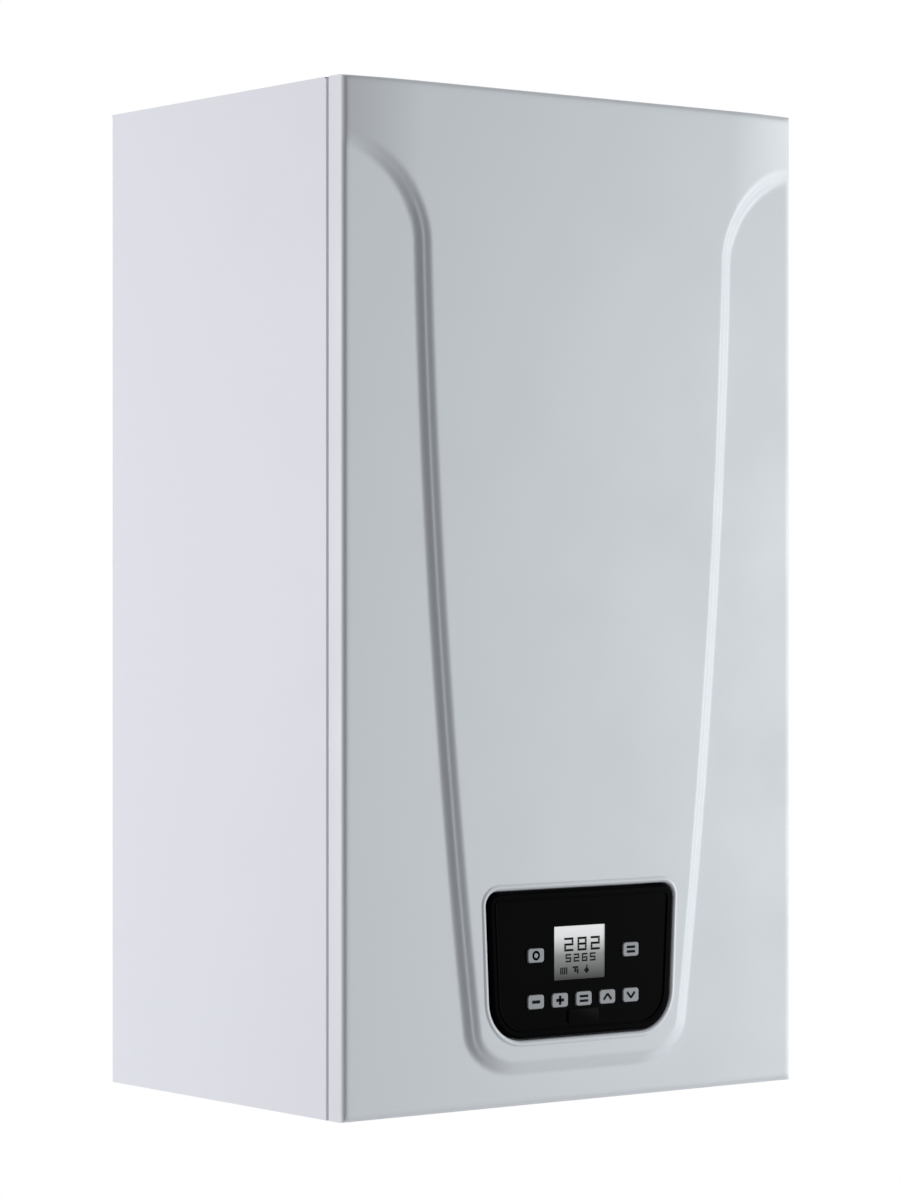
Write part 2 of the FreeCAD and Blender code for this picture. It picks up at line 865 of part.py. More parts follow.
def water_groups():
    """Cast groups: the flow side carries the diverter and the safety valve, the return side the pump."""
    diverter = rod(
        -S.riser_x,
        S.fitting_depth,
        S.diverter_rise,
        S.diverter_boss_radius,
        S.diverter_boss_end - S.fitting_depth,
        "forward",
    )
    safety = rod(
        -2 * S.fitting_pitch,
        S.fitting_depth,
        S.diverter_rise,
        S.safety_radius,
        S.safety_boss_end - S.fitting_depth,
        "forward",
    )
    bore = rod(
        -S.riser_x,
        S.stem_bore_start,
        S.diverter_rise,
        S.stem_radius + S.run_gap,
        S.diverter_boss_end - S.stem_bore_start,
        "forward",
    )
    node("flow_group", less(join(*group_core(-1), diverter, safety), bore))
    pump_boss = rod(
        S.pump_x,
        S.fitting_depth,
        S.pump_rise,
        S.pump_boss_radius,
        S.pump_back - S.fitting_depth,
        "forward",
    )
    tap_boss = rod(
        S.tap_x,
        S.fitting_depth,
        S.fitting_top,
        S.tap_radius + S.base_hole_gap,
        S.group_pipe_rise - S.fitting_top,
    )
    node("return_group", join(*group_core(1), pump_boss, tap_boss))


def plate_heat_exchanger():
    """A brazed stack of plates, grooved all round between them, standing on the groups' shelves."""
    stack = block(
        -S.plates_width / 2, S.plates_depth, S.group_top, S.plates_width, S.plates_deep, S.plates_high
    )
    stack = rounded(stack, S.plates_corner, lambda edge: runs_along(edge, V(0, 1, 0)))
    pitch = S.plates_deep / (PLATE_GROOVES + 1)
    grooves = []
    for i in range(PLATE_GROOVES):
        depth = S.plates_depth + pitch * (i + 1) - S.plate_groove / 2
        outer = block(
            -S.plates_width / 2 - S.overrun,
            depth,
            S.group_top - S.overrun,
            S.plates_width + 2 * S.overrun,
            S.plate_groove,
            S.plates_high + 2 * S.overrun,
        )
        core = block(
            -S.plates_width / 2 + S.plate_groove,
            depth,
            S.group_top + S.plate_groove,
            S.plates_width - 2 * S.plate_groove,
            S.plate_groove,
            S.plates_high - 2 * S.plate_groove,
        )
        core = rounded(core, S.plates_corner - S.plate_groove, lambda edge: runs_along(edge, V(0, 1, 0)))
        grooves.append(less(outer, core))
    node("plate_heat_exchanger", less(stack, *grooves))


def pump():
    """Volute with its air vent, a grooved can motor in front, and the rotor that runs in both."""
    volute = rod(S.pump_x, S.pump_back, S.pump_rise, S.volute_radius, S.volute_deep, "forward")
    vent_x = S.pump_x + S.volute_radius - S.vent_radius
    vent = rod(
        vent_x, S.pump_back + S.volute_deep / 2, S.pump_rise, S.vent_radius, S.volute_radius + S.vent_height
    )
    cavity = rod(
        S.pump_x,
        S.pump_back + S.volute_wall,
        S.pump_rise,
        S.volute_cavity_radius,
        S.volute_deep - 2 * S.volute_wall,
        "forward",
    )
    neck = rod(
        S.pump_x,
        S.pump_back + S.volute_wall,
        S.pump_rise,
        S.pump_shaft_radius + S.run_gap,
        S.volute_deep,
        "forward",
    )
    node("pump_volute", less(join(volute, vent), cavity, neck))
    rotor_back = S.pump_back + (S.volute_deep - S.rotor_deep) / 2
    wheel = rod(S.pump_x, rotor_back, S.pump_rise, S.rotor_radius, S.rotor_deep, "forward")
    shaft = rod(
        S.pump_x,
        rotor_back,
        S.pump_rise,
        S.pump_shaft_radius,
        PUMP_FRONT - rotor_back + PUMP_SHAFT_LENGTH - S.volute_wall,
        "forward",
    )
    node("pump_rotor", join(wheel, shaft))
    can = rod(S.pump_x, PUMP_FRONT, S.pump_rise, S.pump_motor_radius, PUMP_MOTOR_DEEP, "forward")
    can = rounded(can, S.volute_wall / 2, lambda edge: at_depth(edge, PUMP_FRONT + PUMP_MOTOR_DEEP))
    grooves = []
    for i in range(CAN_GROOVES):
        angle = 2 * math.pi * i / CAN_GROOVES
        grooves.append(
            rod(
                S.pump_x + S.pump_motor_radius * math.cos(angle),
                PUMP_FRONT + S.can_groove_margin,
                S.pump_rise + S.pump_motor_radius * math.sin(angle),
                S.can_groove,
                PUMP_MOTOR_DEEP - 2 * S.can_groove_margin,
                "forward",
            )
        )
    terminals = block(
        S.pump_x - S.terminal_width / 2,
        PUMP_FRONT + S.terminal_setback,
        S.pump_rise + S.pump_motor_radius / 2,
        S.terminal_width,
        S.terminal_deep,
        S.pump_motor_radius / 2 + S.terminal_high / 2,
    )
    terminals = rounded(terminals, S.volute_wall / 2, lambda edge: runs_along(edge, V(0, 0, 1)))
    bore = rod(
        S.pump_x, PUMP_FRONT, S.pump_rise, S.pump_shaft_radius + S.run_gap, PUMP_SHAFT_LENGTH, "forward"
    )
    node("pump_motor", less(join(less(can, *grooves), terminals), bore))


def expansion_vessel():
    """A hollow flat tank with a rolled seam, standing against the back plate."""
    left = -INNER + S.vessel_left_gap
    tank = block(left, BACK, S.vessel_rise, S.vessel_width, S.vessel_deep, VESSEL_HIGH)
    tank = rounded(tank, S.vessel_radius, lambda edge: runs_along(edge, V(0, 1, 0)))
    seam = block(
        left,
        BACK + S.vessel_deep / 2 - S.vessel_seam,
        S.vessel_rise - S.vessel_seam,
        S.vessel_width + S.vessel_seam,
        2 * S.vessel_seam,
        VESSEL_HIGH + 2 * S.vessel_seam,
    )
    seam = rounded(seam, S.vessel_radius, lambda edge: runs_along(edge, V(0, 1, 0)))
    wall = S.vessel_wall
    room = block(
        left + wall,
        BACK + wall,
        S.vessel_rise + wall,
        S.vessel_width - 2 * wall,
        S.vessel_deep - 2 * wall,
        VESSEL_HIGH - 2 * wall,
    )
    room = rounded(room, S.vessel_radius - wall, lambda edge: runs_along(edge, V(0, 1, 0)))
    node("expansion_vessel", less(join(tank, seam), room))
    reach = S.vessel_rise - S.group_top
    link = rod(-S.vessel_pipe_x, S.fitting_depth, S.group_top, S.vessel_pipe_radius, reach)
    nut = hexagon(-S.vessel_pipe_x, S.fitting_depth, S.group_top, S.vessel_pipe_radius * 2, S.nut_height)
    node("vessel_pipe", join(link, nut))


def heat_exchanger():
    """A ribbed drum, open in front, with water stubs and a drain below and the flue port on top."""
    drum = rod(0, S.exchanger_back, EXCHANGER_RISE, S.exchanger_radius, S.exchanger_deep, "forward")
    pitch = (S.exchanger_deep - S.exchanger_rib_wide) / (EXCHANGER_RIBS - 1)
    ribs = [
        rod(
            0,
            S.exchanger_back + pitch * i,
            EXCHANGER_RISE,
            S.exchanger_radius + S.exchanger_rib,
            S.exchanger_rib_wide,
            "forward",
        )
        for i in range(EXCHANGER_RIBS)
    ]
    stub_high = EXCHANGER_RISE - STUB_END
    stubs = [
        rod(side * S.riser_x, S.fitting_depth, STUB_END, S.exchanger_stub_radius, stub_high)
        for side in (-1, 1)
    ]
    drain = rod(0, S.trap_depth, STUB_END, S.exchanger_stub_radius, S.exchanger_radius)
    port = rod(0, S.flue_depth, EXCHANGER_RISE, S.flue_port_radius, FLUE_PORT_TOP - EXCHANGER_RISE)
    wall = S.exchanger_wall
    room = rod(
        0,
        S.exchanger_back + wall,
        EXCHANGER_RISE,
        S.exchanger_radius - wall,
        S.exchanger_deep,
        "forward",
    )
    stub_bore = S.water_pipe_radius - S.pipe_wall
    bores = [
        rod(side * S.riser_x, S.fitting_depth, STUB_END, stub_bore, stub_high) for side in (-1, 1)
    ]
    bores.append(rod(0, S.trap_depth, STUB_END, S.drain_radius - S.pipe_wall, stub_high))
    bores.append(rod(0, S.flue_depth, EXCHANGER_RISE, S.flue_radius - S.flue_wall, S.flue_port_high))
    node("heat_exchanger", less(join(drum, *ribs, *stubs, drain, port), room, *bores))
    deep = S.exchanger_back - BACK
    frame = block(
        -S.bracket_width / 2,
        BACK,
        EXCHANGER_RISE - S.bracket_high / 2,
        S.bracket_width,
        deep,
        S.bracket_high,
    )
    room = block(
        -S.bracket_width / 2 + S.bracket_thick,
        BACK,
        EXCHANGER_RISE - S.bracket_high / 2,
        S.bracket_width - 2 * S.bracket_thick,
        deep - S.bracket_thick,
        S.bracket_high,
    )
    node("exchanger_bracket", less(frame, room))


def burner_door():
    """A dished disc with the mixing port's boss and ribs round it, held by nuts round its rim."""
    profile = [
        (0, 0),
        (S.door_radius, 0),
        (S.door_radius, S.door_thick / 2),
        (S.door_radius - S.door_thick * 2, S.door_thick / 2),
        (S.door_radius - S.door_thick * 3, S.door_thick),
        (S.door_boss_radius, S.door_thick),
        (S.door_boss_radius, S.door_thick + S.door_boss_deep),
        (0, S.door_thick + S.door_boss_deep),
    ]
    door = turned(0, DOOR_BACK, EXCHANGER_RISE, profile, "forward")
    half = S.door_rib_thick / 2
    rib_end = S.door_radius - S.door_thick * 3
    rib_page = outline(
        sketch(door, "XY_Plane", S.door_thick - half),
        [
            (S.door_boss_radius - half, -half),
            (rib_end, -half),
            (rib_end, half),
            (S.door_boss_radius - half, half),
        ],
    )
    ring_of(door, pad(door, rib_page, S.door_rib_high + half), rib_page, DOOR_RIBS)
    node("burner_door", door)
    nuts = []
    for i in range(DOOR_NUTS):
        angle = 2 * math.pi * i / DOOR_NUTS
        nuts.append(
            hexagon(
                S.door_nut_pitch_radius * math.cos(angle),
                DOOR_BACK + S.door_thick / 2,
                EXCHANGER_RISE + S.door_nut_pitch_radius * math.sin(angle),
                S.door_nut_across,
                S.door_nut_deep,
                "forward",
            )
        )
    group = DOC.addObject("Part::Compound", "Nuts")
    group.Links = nuts
    node("door_nuts", group)


def scroll_block(grow, start, stop, top):
    """A block with the fan scroll's outline, grown all round, between two depths.

    From the tongue beside the outlet its radius grows over three quarter turns to the outlet's far wall.
    """
    far_wall = S.fan_x + S.manifold_radius + grow
    near_wall = S.manifold_radius - S.fan_x + grow
    tongue = S.scroll_start + grow
    growth = (far_wall - tongue) / 3
    right = tongue + growth
    low = right + growth
    points = [
        (-far_wall, 0),
        (-far_wall, top),
        (near_wall, top),
        (near_wall, tongue),
        (0, tongue),
        (right, 0),
        (0, -low),
    ]
    bows = {
        4: ((tongue + right) / 2, 1),
        5: ((right + low) / 2, 1),
        6: ((low + far_wall) / 2, 1),
    }
    whole = body(S.fan_x, 0, FAN_RISE)
    pad(whole, outline(sketch(whole, "XZ_Plane", start), points, bows), stop - start)
    return whole


def fan():
    """Scroll with an upward outlet, a bladed wheel inside, its motor in front and the venturi behind."""
    wall = S.fan_wall
    case = scroll_block(as_size(0), S.fan_back, FAN_FRONT, S.fan_outlet_high)
    soften(case, wall / 2, lambda edge: at_depth(edge, FAN_FRONT) or at_depth(edge, S.fan_back))
    room = scroll_block(-wall, S.fan_back + wall, FAN_FRONT - wall, S.fan_outlet_high + S.overrun)
    inlet = rod(S.fan_x, S.fan_back, FAN_RISE, S.impeller_eye_radius - wall, S.fan_deep / 2, "forward")
    shaft_hole = rod(S.fan_x, FAN_MID, FAN_RISE, S.fan_hub_radius, S.fan_deep / 2, "forward")
    node("fan_housing", less(case, room, inlet, shaft_hole))

    disc_front = FAN_FRONT - wall - S.impeller_gap
    disc_back = disc_front - S.impeller_disc
    blade_deep = disc_back - (S.fan_back + wall + S.impeller_gap)
    wheel = body(S.fan_x, disc_front - S.impeller_disc, FAN_RISE, "forward")
    pad(wheel, circle(sketch(wheel, "XY_Plane"), 0, 0, S.impeller_radius), S.impeller_disc)
    hub_page = circle(sketch(wheel, "XY_Plane", -blade_deep / 2), 0, 0, S.fan_hub_radius)
    pad(wheel, hub_page, blade_deep / 2)
    half = S.blade_thick / 2
    blade_page = outline(
        sketch(wheel, "XY_Plane", -blade_deep),
        [
            (S.impeller_eye_radius, -half),
            (S.impeller_radius - half, S.impeller_gap - half),
            (S.impeller_radius - half, S.impeller_gap + half),
            (S.impeller_eye_radius, half),
        ],
        {0: (S.blade_bow, 1), 2: (S.blade_bow, -1)},
    )
    ring_of(wheel, pad(wheel, blade_page, blade_deep), blade_page, BLADES)
    shaft_page = circle(sketch(wheel, "XY_Plane"), 0, 0, S.fan_shaft_radius)
    pad(wheel, shaft_page, S.impeller_disc + wall + S.impeller_gap + S.fan_shaft_length / 2)
    node("fan_impeller", wheel)

    motor = rod(S.fan_x, FAN_FRONT, FAN_RISE, S.fan_motor_radius, S.fan_motor_deep, "forward")
    motor = rounded(motor, wall, lambda edge: at_depth(edge, FAN_FRONT + S.fan_motor_deep))
    bore = rod(
        S.fan_x, FAN_FRONT, FAN_RISE, S.fan_shaft_radius + S.run_gap, S.fan_shaft_length, "forward"
    )
    socket = block(
        S.fan_x - S.socket_width / 2,
        FAN_FRONT + wall,
        FAN_RISE - S.fan_motor_radius - S.socket_high / 2,
        S.socket_width,
        S.socket_deep,
        S.socket_high,
    )
    node("fan_motor", join(less(motor, bore), socket))

    profile = [
        (S.venturi_throat, 0),
        (S.venturi_radius, 0),
        (S.venturi_radius, S.venturi_deep),
        (S.impeller_eye_radius - wall, S.venturi_deep),
        (S.venturi_throat - wall, S.venturi_deep / 2),
    ]
    node("venturi", turned(S.fan_x, S.fan_back - S.venturi_deep, FAN_RISE, profile, "forward"))


def gas_train():
    """Mixing manifold to the door, and the gas line from its fitting through the valve to the venturi."""
    outlet_rise = FAN_RISE + S.fan_outlet_high
    node(
        "mixing_manifold",
        bent_pipe(
            [
                (0, DOOR_FRONT + S.door_boss_deep, EXCHANGER_RISE),
                (0, FAN_MID, EXCHANGER_RISE),
                (0, FAN_MID, outlet_rise),
            ],
            S.manifold_radius,
            S.manifold_wall,
            S.manifold_bend,
        ),
    )
    valve_back = S.fitting_depth - S.valve_deep / 2
    case = block(-S.valve_width / 2, valve_back, VALVE_RISE, S.valve_width, S.valve_deep, S.valve_high)
    case = rounded(case, S.box_radius / 2, lambda edge: runs_along(edge, V(0, 0, 1)))
    valve_top = VALVE_RISE + S.valve_high
    coil = S.valve_coil_radius - S.pipe_wall
    coils = [
        rod(side * S.valve_width / 4, S.fitting_depth, valve_top, coil, S.valve_coil_high)
        for side in (-1, 1)
    ]
    regulator = rod(
        0,
        valve_back + S.valve_deep,
        VALVE_RISE + S.valve_high / 2,
        S.valve_coil_radius,
        S.pipe_wall * 4,
        "forward",
    )
    socket = block(
        -S.valve_width / 2 - S.socket_high,
        S.fitting_depth - S.socket_deep / 2,
        VALVE_RISE + (S.valve_high - S.socket_width) / 2,
        S.socket_high,
        S.socket_deep,
        S.socket_width,
    )
    node("gas_valve", join(case, regulator, socket, *coils))
    node(
        "gas_pipe",
        tube(0, S.fitting_depth, S.fitting_top, S.gas_pipe_radius, S.pipe_wall, VALVE_RISE - S.fitting_top),
    )
    port_depth = S.fan_back - S.venturi_deep / 2
    leave_depth = valve_back + S.valve_deep - S.feed_port_inset
    node(
        "feed_pipe",
        bent_pipe(
            [
                (S.valve_width / 2, leave_depth, FAN_RISE),
                (S.feed_pipe_reach, leave_depth, FAN_RISE),
                (S.feed_pipe_reach, port_depth, FAN_RISE),
                (S.fan_x + S.venturi_radius + S.fit_gap, port_depth, FAN_RISE),
            ],
            S.feed_pipe_radius,
            S.pipe_wall,
            S.feed_bend,
        ),
    )


def condensate():
    """Trap bottle with its spigot through the base, and the drain down from the heat exchanger."""
    profile = [
        (S.trap_spigot_bore, S.trap_spigot_end),
        (S.trap_spigot_radius, S.trap_spigot_end),
        (S.trap_spigot_radius, S.trap_spigot_end + S.trap_spigot_length),
        (S.trap_neck_radius, S.trap_spigot_end + S.trap_spigot_length),
        (S.trap_neck_radius, S.trap_rise),
        (S.trap_radius - S.pipe_wall * 4, S.trap_rise),
        (S.trap_radius, S.trap_rise + S.trap_radius),
        (S.trap_radius, S.trap_top - S.trap_radius),
        (S.trap_radius + S.pipe_wall, S.trap_top - S.trap_radius),
        (S.trap_radius + S.pipe_wall, S.trap_top),
        (0, S.trap_top),
        (0, S.trap_rise),
        (S.trap_spigot_bore, S.trap_rise),
    ]
    node("condensate_trap", turned(0, S.trap_depth, 0, profile))
    node(
        "condensate_pipe",
        tube(0, S.trap_depth, S.trap_top, S.drain_radius, S.pipe_wall, STUB_END - S.trap_top),
    )


def risers():
    for label, side in (("flow_pipe", -1), ("return_pipe", 1)):
        node(
            label,
            tube(
                side * S.riser_x,
                S.fitting_depth,
                S.group_top,
                S.water_pipe_radius,
                S.pipe_wall,
                STUB_END - S.group_top,
            ),
        )


def diverter():
    """A motor head on a sleeve in front of the flow group, and the stem that it pulls."""
    half = S.diverter_motor_width / 2
    head = block(
        -S.riser_x - half,
        S.diverter_motor_start,
        S.diverter_rise - half,
        S.diverter_motor_width,
        S.diverter_motor_deep,
        S.diverter_motor_width,
    )
    head = rounded(head, S.box_radius / 2, lambda edge: runs_along(edge, V(0, 1, 0)))
    sleeve = tube(
        -S.riser_x,
        S.diverter_boss_end,
        S.diverter_rise,
        S.diverter_boss_radius,
        S.pipe_wall * 2,
        S.diverter_motor_start - S.diverter_boss_end,
        "forward",
    )
    bore = rod(
        -S.riser_x,
        S.diverter_motor_start,
        S.diverter_rise,
        S.stem_radius + S.run_gap,
        S.diverter_bore_deep,
        "forward",
    )
    node("diverter_motor", less(join(head, sleeve), bore))
    node(
        "diverter_stem",
        rod(-S.riser_x, S.stem_start, S.diverter_rise, S.stem_radius, S.stem_length, "forward"),
    )


def notched_knob(x, depth, rise, radius, deep, along, bore):
    """A round knob with finger notches, and a blind bore for its stem."""
    grip = rod(x, depth, rise, radius, deep, along)
    tools = [bore]
    for i in range(KNOB_NOTCHES):
        angle = 2 * math.pi * i / KNOB_NOTCHES
        across = radius * math.cos(angle)
        up = radius * math.sin(angle)
        spot = (x + across, depth, rise + up) if along == "forward" else (x + across, depth + up, rise)
        tools.append(rod(*spot, S.knob_notch_radius, deep, along))
    return less(grip, *tools)


def safety_valve():
    """A relief valve on the flow group, its outlet pointing down and its knob in front."""
    x = -2 * S.fitting_pitch
    front = S.safety_boss_end + S.safety_deep
    case = rod(x, S.safety_boss_end, S.diverter_rise, S.safety_radius, S.safety_deep, "forward")
    outlet = rod(
        x,
        S.safety_boss_end + S.safety_deep / 2,
        S.diverter_rise - S.safety_radius * 2,
        S.safety_radius / 2,
        S.safety_radius * 2,
    )
    stem = rod(x, front, S.diverter_rise, S.knob_stem_radius, S.knob_stem_length, "forward")
    node("safety_valve", join(case, outlet, stem))
    knob_back = front + S.fit_gap
    bore = rod(
        x,
        knob_back,
        S.diverter_rise,
        S.knob_stem_radius + S.run_gap,
        S.knob_stem_length + S.fit_gap * 2,
        "forward",
    )
    knob = notched_knob(
        x, knob_back, S.diverter_rise, S.safety_knob_radius, S.safety_knob_deep, "forward", bore
    )
    node("safety_knob", knob)


def filling_tap():
    """A tap under the return group, with its knob below the base."""
    case = rod(S.tap_x, S.fitting_depth, S.tap_end, S.tap_radius, S.fitting_top - S.tap_end)
    stem_low = S.tap_end - S.knob_stem_length
    stem = rod(S.tap_x, S.fitting_depth, stem_low, S.knob_stem_radius, S.knob_stem_length)
    node("filling_tap", join(case, stem))
    reach = S.knob_stem_length + S.fit_gap
    bore = rod(S.tap_x, S.fitting_depth, S.tap_end - reach, S.knob_stem_radius + S.run_gap, reach)
    knob_low = S.tap_end - S.fit_gap - S.tap_knob_deep
    knob = notched_knob(
        S.tap_x, S.fitting_depth, knob_low, S.tap_knob_radius, S.tap_knob_deep, "up", bore
    )
    node("filling_knob", knob)


def cable_gland():
    """A gland screwed up through the base, with its dome nut below."""
    stem = rod(S.gland_x, S.gland_depth, S.gland_low, S.gland_radius, S.gland_top - S.gland_low)
    nut = hexagon(
        S.gland_x, S.gland_depth, S.base_rise - S.gland_nut_high, S.gland_nut_radius, S.gland_nut_high
    )
    lock = hexagon(S.gland_x, S.gland_depth, BASE_TOP, S.gland_nut_radius, S.gland_nut_high / 2)
    hole = rod(S.gland_x, S.gland_depth, S.gland_low, S.gland_bore, S.gland_top - S.gland_low)
    node("cable_gland", less(join(stem, nut, lock), hole))


def control_box():
    """A moulded tray with hinge pins low on its ends, its slotted lid, and the brackets that carry it."""
    wall = S.box_wall
    deep = BOX_FRONT - BOX_BACK
    shell = block(-S.box_half, BOX_BACK + wall, S.box_rise, 2 * S.box_half, deep - wall, S.box_high)
    shell = rounded(shell, S.box_radius, lambda edge: runs_along(edge, V(0, 1, 0)))
    room = block(
        -S.box_half + wall,
        BOX_BACK + wall,
        S.box_rise + wall,
        2 * S.box_half - 2 * wall,
        deep - 2 * wall,
        S.box_high - 2 * wall,
    )
    room = rounded(room, S.box_radius - wall, lambda edge: runs_along(edge, V(0, 1, 0)))
    reach = S.hinge_side_gap + S.hinge_cheek + S.hinge_side_gap
    pins = [
        rod(x, HINGE_DEPTH, S.hinge_rise, S.hinge_pin_radius, reach + wall, "right")
        for x in (S.box_half - wall, -S.box_half - reach)
    ]
    node("control_box", join(less(shell, room), *pins))
    lid = block(-S.box_half, BOX_BACK, S.box_rise, 2 * S.box_half, wall, S.box_high)
    lid = rounded(lid, S.box_radius, lambda edge: runs_along(edge, V(0, 1, 0)))
    slots = [
        block(
            S.vent_slot_pitch * (i - (VENT_SLOTS - 1) / 2) - S.vent_slot_width / 2,
            BOX_BACK - S.overrun,
            S.box_rise + (S.box_high - S.vent_slot_high) / 2,
            S.vent_slot_width,
            wall + 2 * S.overrun,
            S.vent_slot_high,
        )
        for i in range(VENT_SLOTS)
    ]
    node("control_lid", less(lid, *slots))

    cheeks = []
    for x in (S.box_half + S.hinge_side_gap, -S.box_half - S.hinge_side_gap - S.hinge_cheek):
        foot_back = BASE_FRONT - S.hinge_foot_deep
        front = HINGE_DEPTH + S.hinge_pin_radius * 2
        cheek = body(x, 0, 0)
        points = [
            (foot_back, BASE_TOP),
            (BASE_FRONT, BASE_TOP),
            (front, S.hinge_rise - S.hinge_pin_radius * 2),
            (front, S.hinge_cheek_top),
            (foot_back, S.hinge_cheek_top),
        ]
        page = sketch(cheek, "YZ_Plane")
        pad(cheek, outline(page, [(-depth, rise) for depth, rise in points]), S.hinge_cheek)
        hole = rod(
            x - S.hinge_side_gap,
            HINGE_DEPTH,
            S.hinge_rise,
            S.hinge_pin_radius + S.run_gap,
            S.hinge_cheek + 2 * S.hinge_side_gap,
            "right",
        )
        cheeks.append(less(cheek, hole))
    pair = DOC.addObject("Part::Compound", "Cheeks")
    pair.Links = cheeks
    node("hinge_brackets", pair)


def panel_block(grow, start, stop):
    """A block with the control panel's outline, grown all round, between two depths."""
    whole = body()
    top = S.fascia_top_rise + grow
    bottom = S.fascia_bottom_rise - grow
    points = [
        (-S.fascia_bottom_half - grow, bottom),
        (S.fascia_bottom_half + grow, bottom),
        (S.fascia_top_half + grow, top),
        (-S.fascia_top_half - grow, top),
    ]
    pad(whole, outline(sketch(whole, "XZ_Plane", start), points), stop - start)

    def corner(rise):
        def test(edge):
            level = edge.BoundBox.ZMin
            return runs_along(edge, V(0, 1, 0)) and abs(level - rise.value) < S.run_gap.value

        return test

    soften(whole, S.fascia_top_radius + grow, corner(top))
    soften(whole, S.fascia_bottom_radius + grow, corner(bottom))
    return whole


def button_places():
    row = [
        (f"button_row_{i + 1}", S.button_pitch * (i - 2), S.button_row_rise)
        for i in range(5)
    ]
    return row + [
        ("button_left", -2 * S.button_pitch, S.button_side_rise),
        ("button_right", 2 * S.button_pitch, S.button_side_rise),
    ]


def pill(x, rise, width, high, radius, start, stop):
    """A block with rounded corners, centred on x and rise, between two depths."""
    thing = block(x - width / 2, start, rise - high / 2, width, stop - start, high)
    return rounded(thing, radius, lambda edge: runs_along(edge, V(0, 1, 0)))


def fascia():
    """Black bezel with the display behind its window and the buttons through its front wall."""
    wall_back = FASCIA_WALL_BACK
    bezel = panel_block(as_size(0), BOX_FRONT, FASCIA_FRONT)
    soften(bezel, S.fascia_edge_radius, lambda edge: at_depth(edge, FASCIA_FRONT))
    room = panel_block(-S.fascia_wall, BOX_FRONT, wall_back)
    field = panel_block(-S.rim_width, FASCIA_FRONT - S.rim_deep, FASCIA_FRONT + S.overrun)
    opening = block(
        -S.window_shift - S.window_width / 2,
        wall_back - S.overrun,
        S.window_rise - S.window_high / 2,
        S.window_width,
        S.fascia_wall + 2 * S.overrun,
        S.window_high,
    )
    gap = S.fit_gap
    hole_size = (S.button_width + 2 * gap, S.button_high + 2 * gap, S.button_radius + gap)
    hole_span = (wall_back - S.overrun, FASCIA_FRONT + S.overrun)
    holes = [pill(x, rise, *hole_size, *hole_span) for label, x, rise in button_places()]
    node("control_fascia", less(bezel, room, field, opening, *holes))

    pane_width = S.window_width - 2 * gap
    pane_high = S.window_high - 2 * gap
    node(
        "lcd_window",
        block(
            -S.window_shift - pane_width / 2,
            wall_back,
            S.window_rise - pane_high / 2,
            pane_width,
            S.fascia_wall - S.window_inset,
            pane_high,
        ),
    )
    lcd_width = S.window_width + 2 * S.lcd_margin
    lcd_high = S.window_high + 2 * S.lcd_margin
    node(
        "lcd_module",
        block(
            -S.window_shift - lcd_width / 2,
            wall_back - S.lcd_deep,
            S.window_rise - lcd_high / 2,
            lcd_width,
            S.lcd_deep,
            lcd_high,
        ),
    )
    board_front = wall_back - S.lcd_deep
    low = S.fascia_bottom_rise + S.board_margin
    width = 2 * S.fascia_bottom_half - 2 * S.board_margin - S.fascia_bottom_radius
    high = S.fascia_top_rise - S.board_margin - low
    node(
        "display_board",
        block(-width / 2, board_front - S.board_thick, low, width, S.board_thick, high),
    )

    flange_front = wall_back - S.run_gap
    for label, x, rise in button_places():
        cap = pill(
            x,
            rise,
            S.button_width,
            S.button_high,
            S.button_radius,
            board_front + S.button_stroke_gap,
            FASCIA_FRONT + S.button_proud,
        )
        cap = rounded(cap, S.button_edge, lambda edge: at_depth(edge, FASCIA_FRONT + S.button_proud))
        flange = pill(
            x,
            rise,
            S.button_width + 2 * S.button_flange,
            S.button_high + 2 * S.button_flange,
            S.button_radius,
            flange_front - S.button_flange_thick,
            flange_front,
        )
        node(label, join(cap, flange))


def shield(sink):
    """The raised shield: a sloped-edge plateau cut by a crown that rolls down to the cover's sides.

    sink moves it back and draws its outline in, to give the inside of the pressed sheet.
    """
    base = S.cover_depth - sink
    crest = SHIELD_DEPTH - sink
    edge = HALF - sink
    top = S.casing_height - sink
    shoulder = SHOULDER_RISE
    loft = body()
    pages = []
    for depth, name in ((base, "foot"), (crest, "crest")):
        radius = getattr(S, f"{name}_shoulder_radius") + sink
        side_half = getattr(S, f"{name}_side_half") - sink
        side_rise = getattr(S, f"{name}_side_rise")
        bottom_half = getattr(S, f"{name}_bottom_half")
        bottom_rise = getattr(S, f"{name}_bottom_rise") + sink
        corner = getattr(S, f"{name}_corner_radius")
        long_radius = getattr(S, f"{name}_side_radius")
        points = [
            (-edge, top),
            (-edge, shoulder + radius),
            (radius - edge, shoulder),
            (-side_half, side_rise),
            (-bottom_half, bottom_rise),
            (bottom_half, bottom_rise),
            (side_half, side_rise),
            (edge - radius, shoulder),
            (edge, shoulder + radius),
            (edge, top),
        ]
        bows = {
            1: (radius, 1),
            2: (long_radius, -1),
            3: (corner, -1),
            5: (corner, -1),
            6: (long_radius, -1),
            7: (radius, 1),
        }
        pages.append(outline(sketch(loft, "XZ_Plane", depth), points, bows))
    plateau = loft.newObject("PartDesign::AdditiveLoft", "Plateau")
    plateau.Profile = pages[0]
    plateau.Sections = [pages[1]]
    plateau.Ruled = True

    run = HALF - S.shield_flat_half
    roll = (run * run + S.shield_proud * S.shield_proud) / (2 * S.shield_proud)
    crown = body()
    points = [
        (-HALF, base - S.sheet_thick),
        (-HALF, base),
        (-S.shield_flat_half, crest),
        (S.shield_flat_half, crest),
        (HALF, base),
        (HALF, base - S.sheet_thick),
    ]
    pad(
        crown,
        outline(sketch(crown, "XY_Plane"), in_plan(points), {1: (roll, -1), 3: (roll, -1)}),
        S.casing_height,
    )
    return shared(loft, crown)


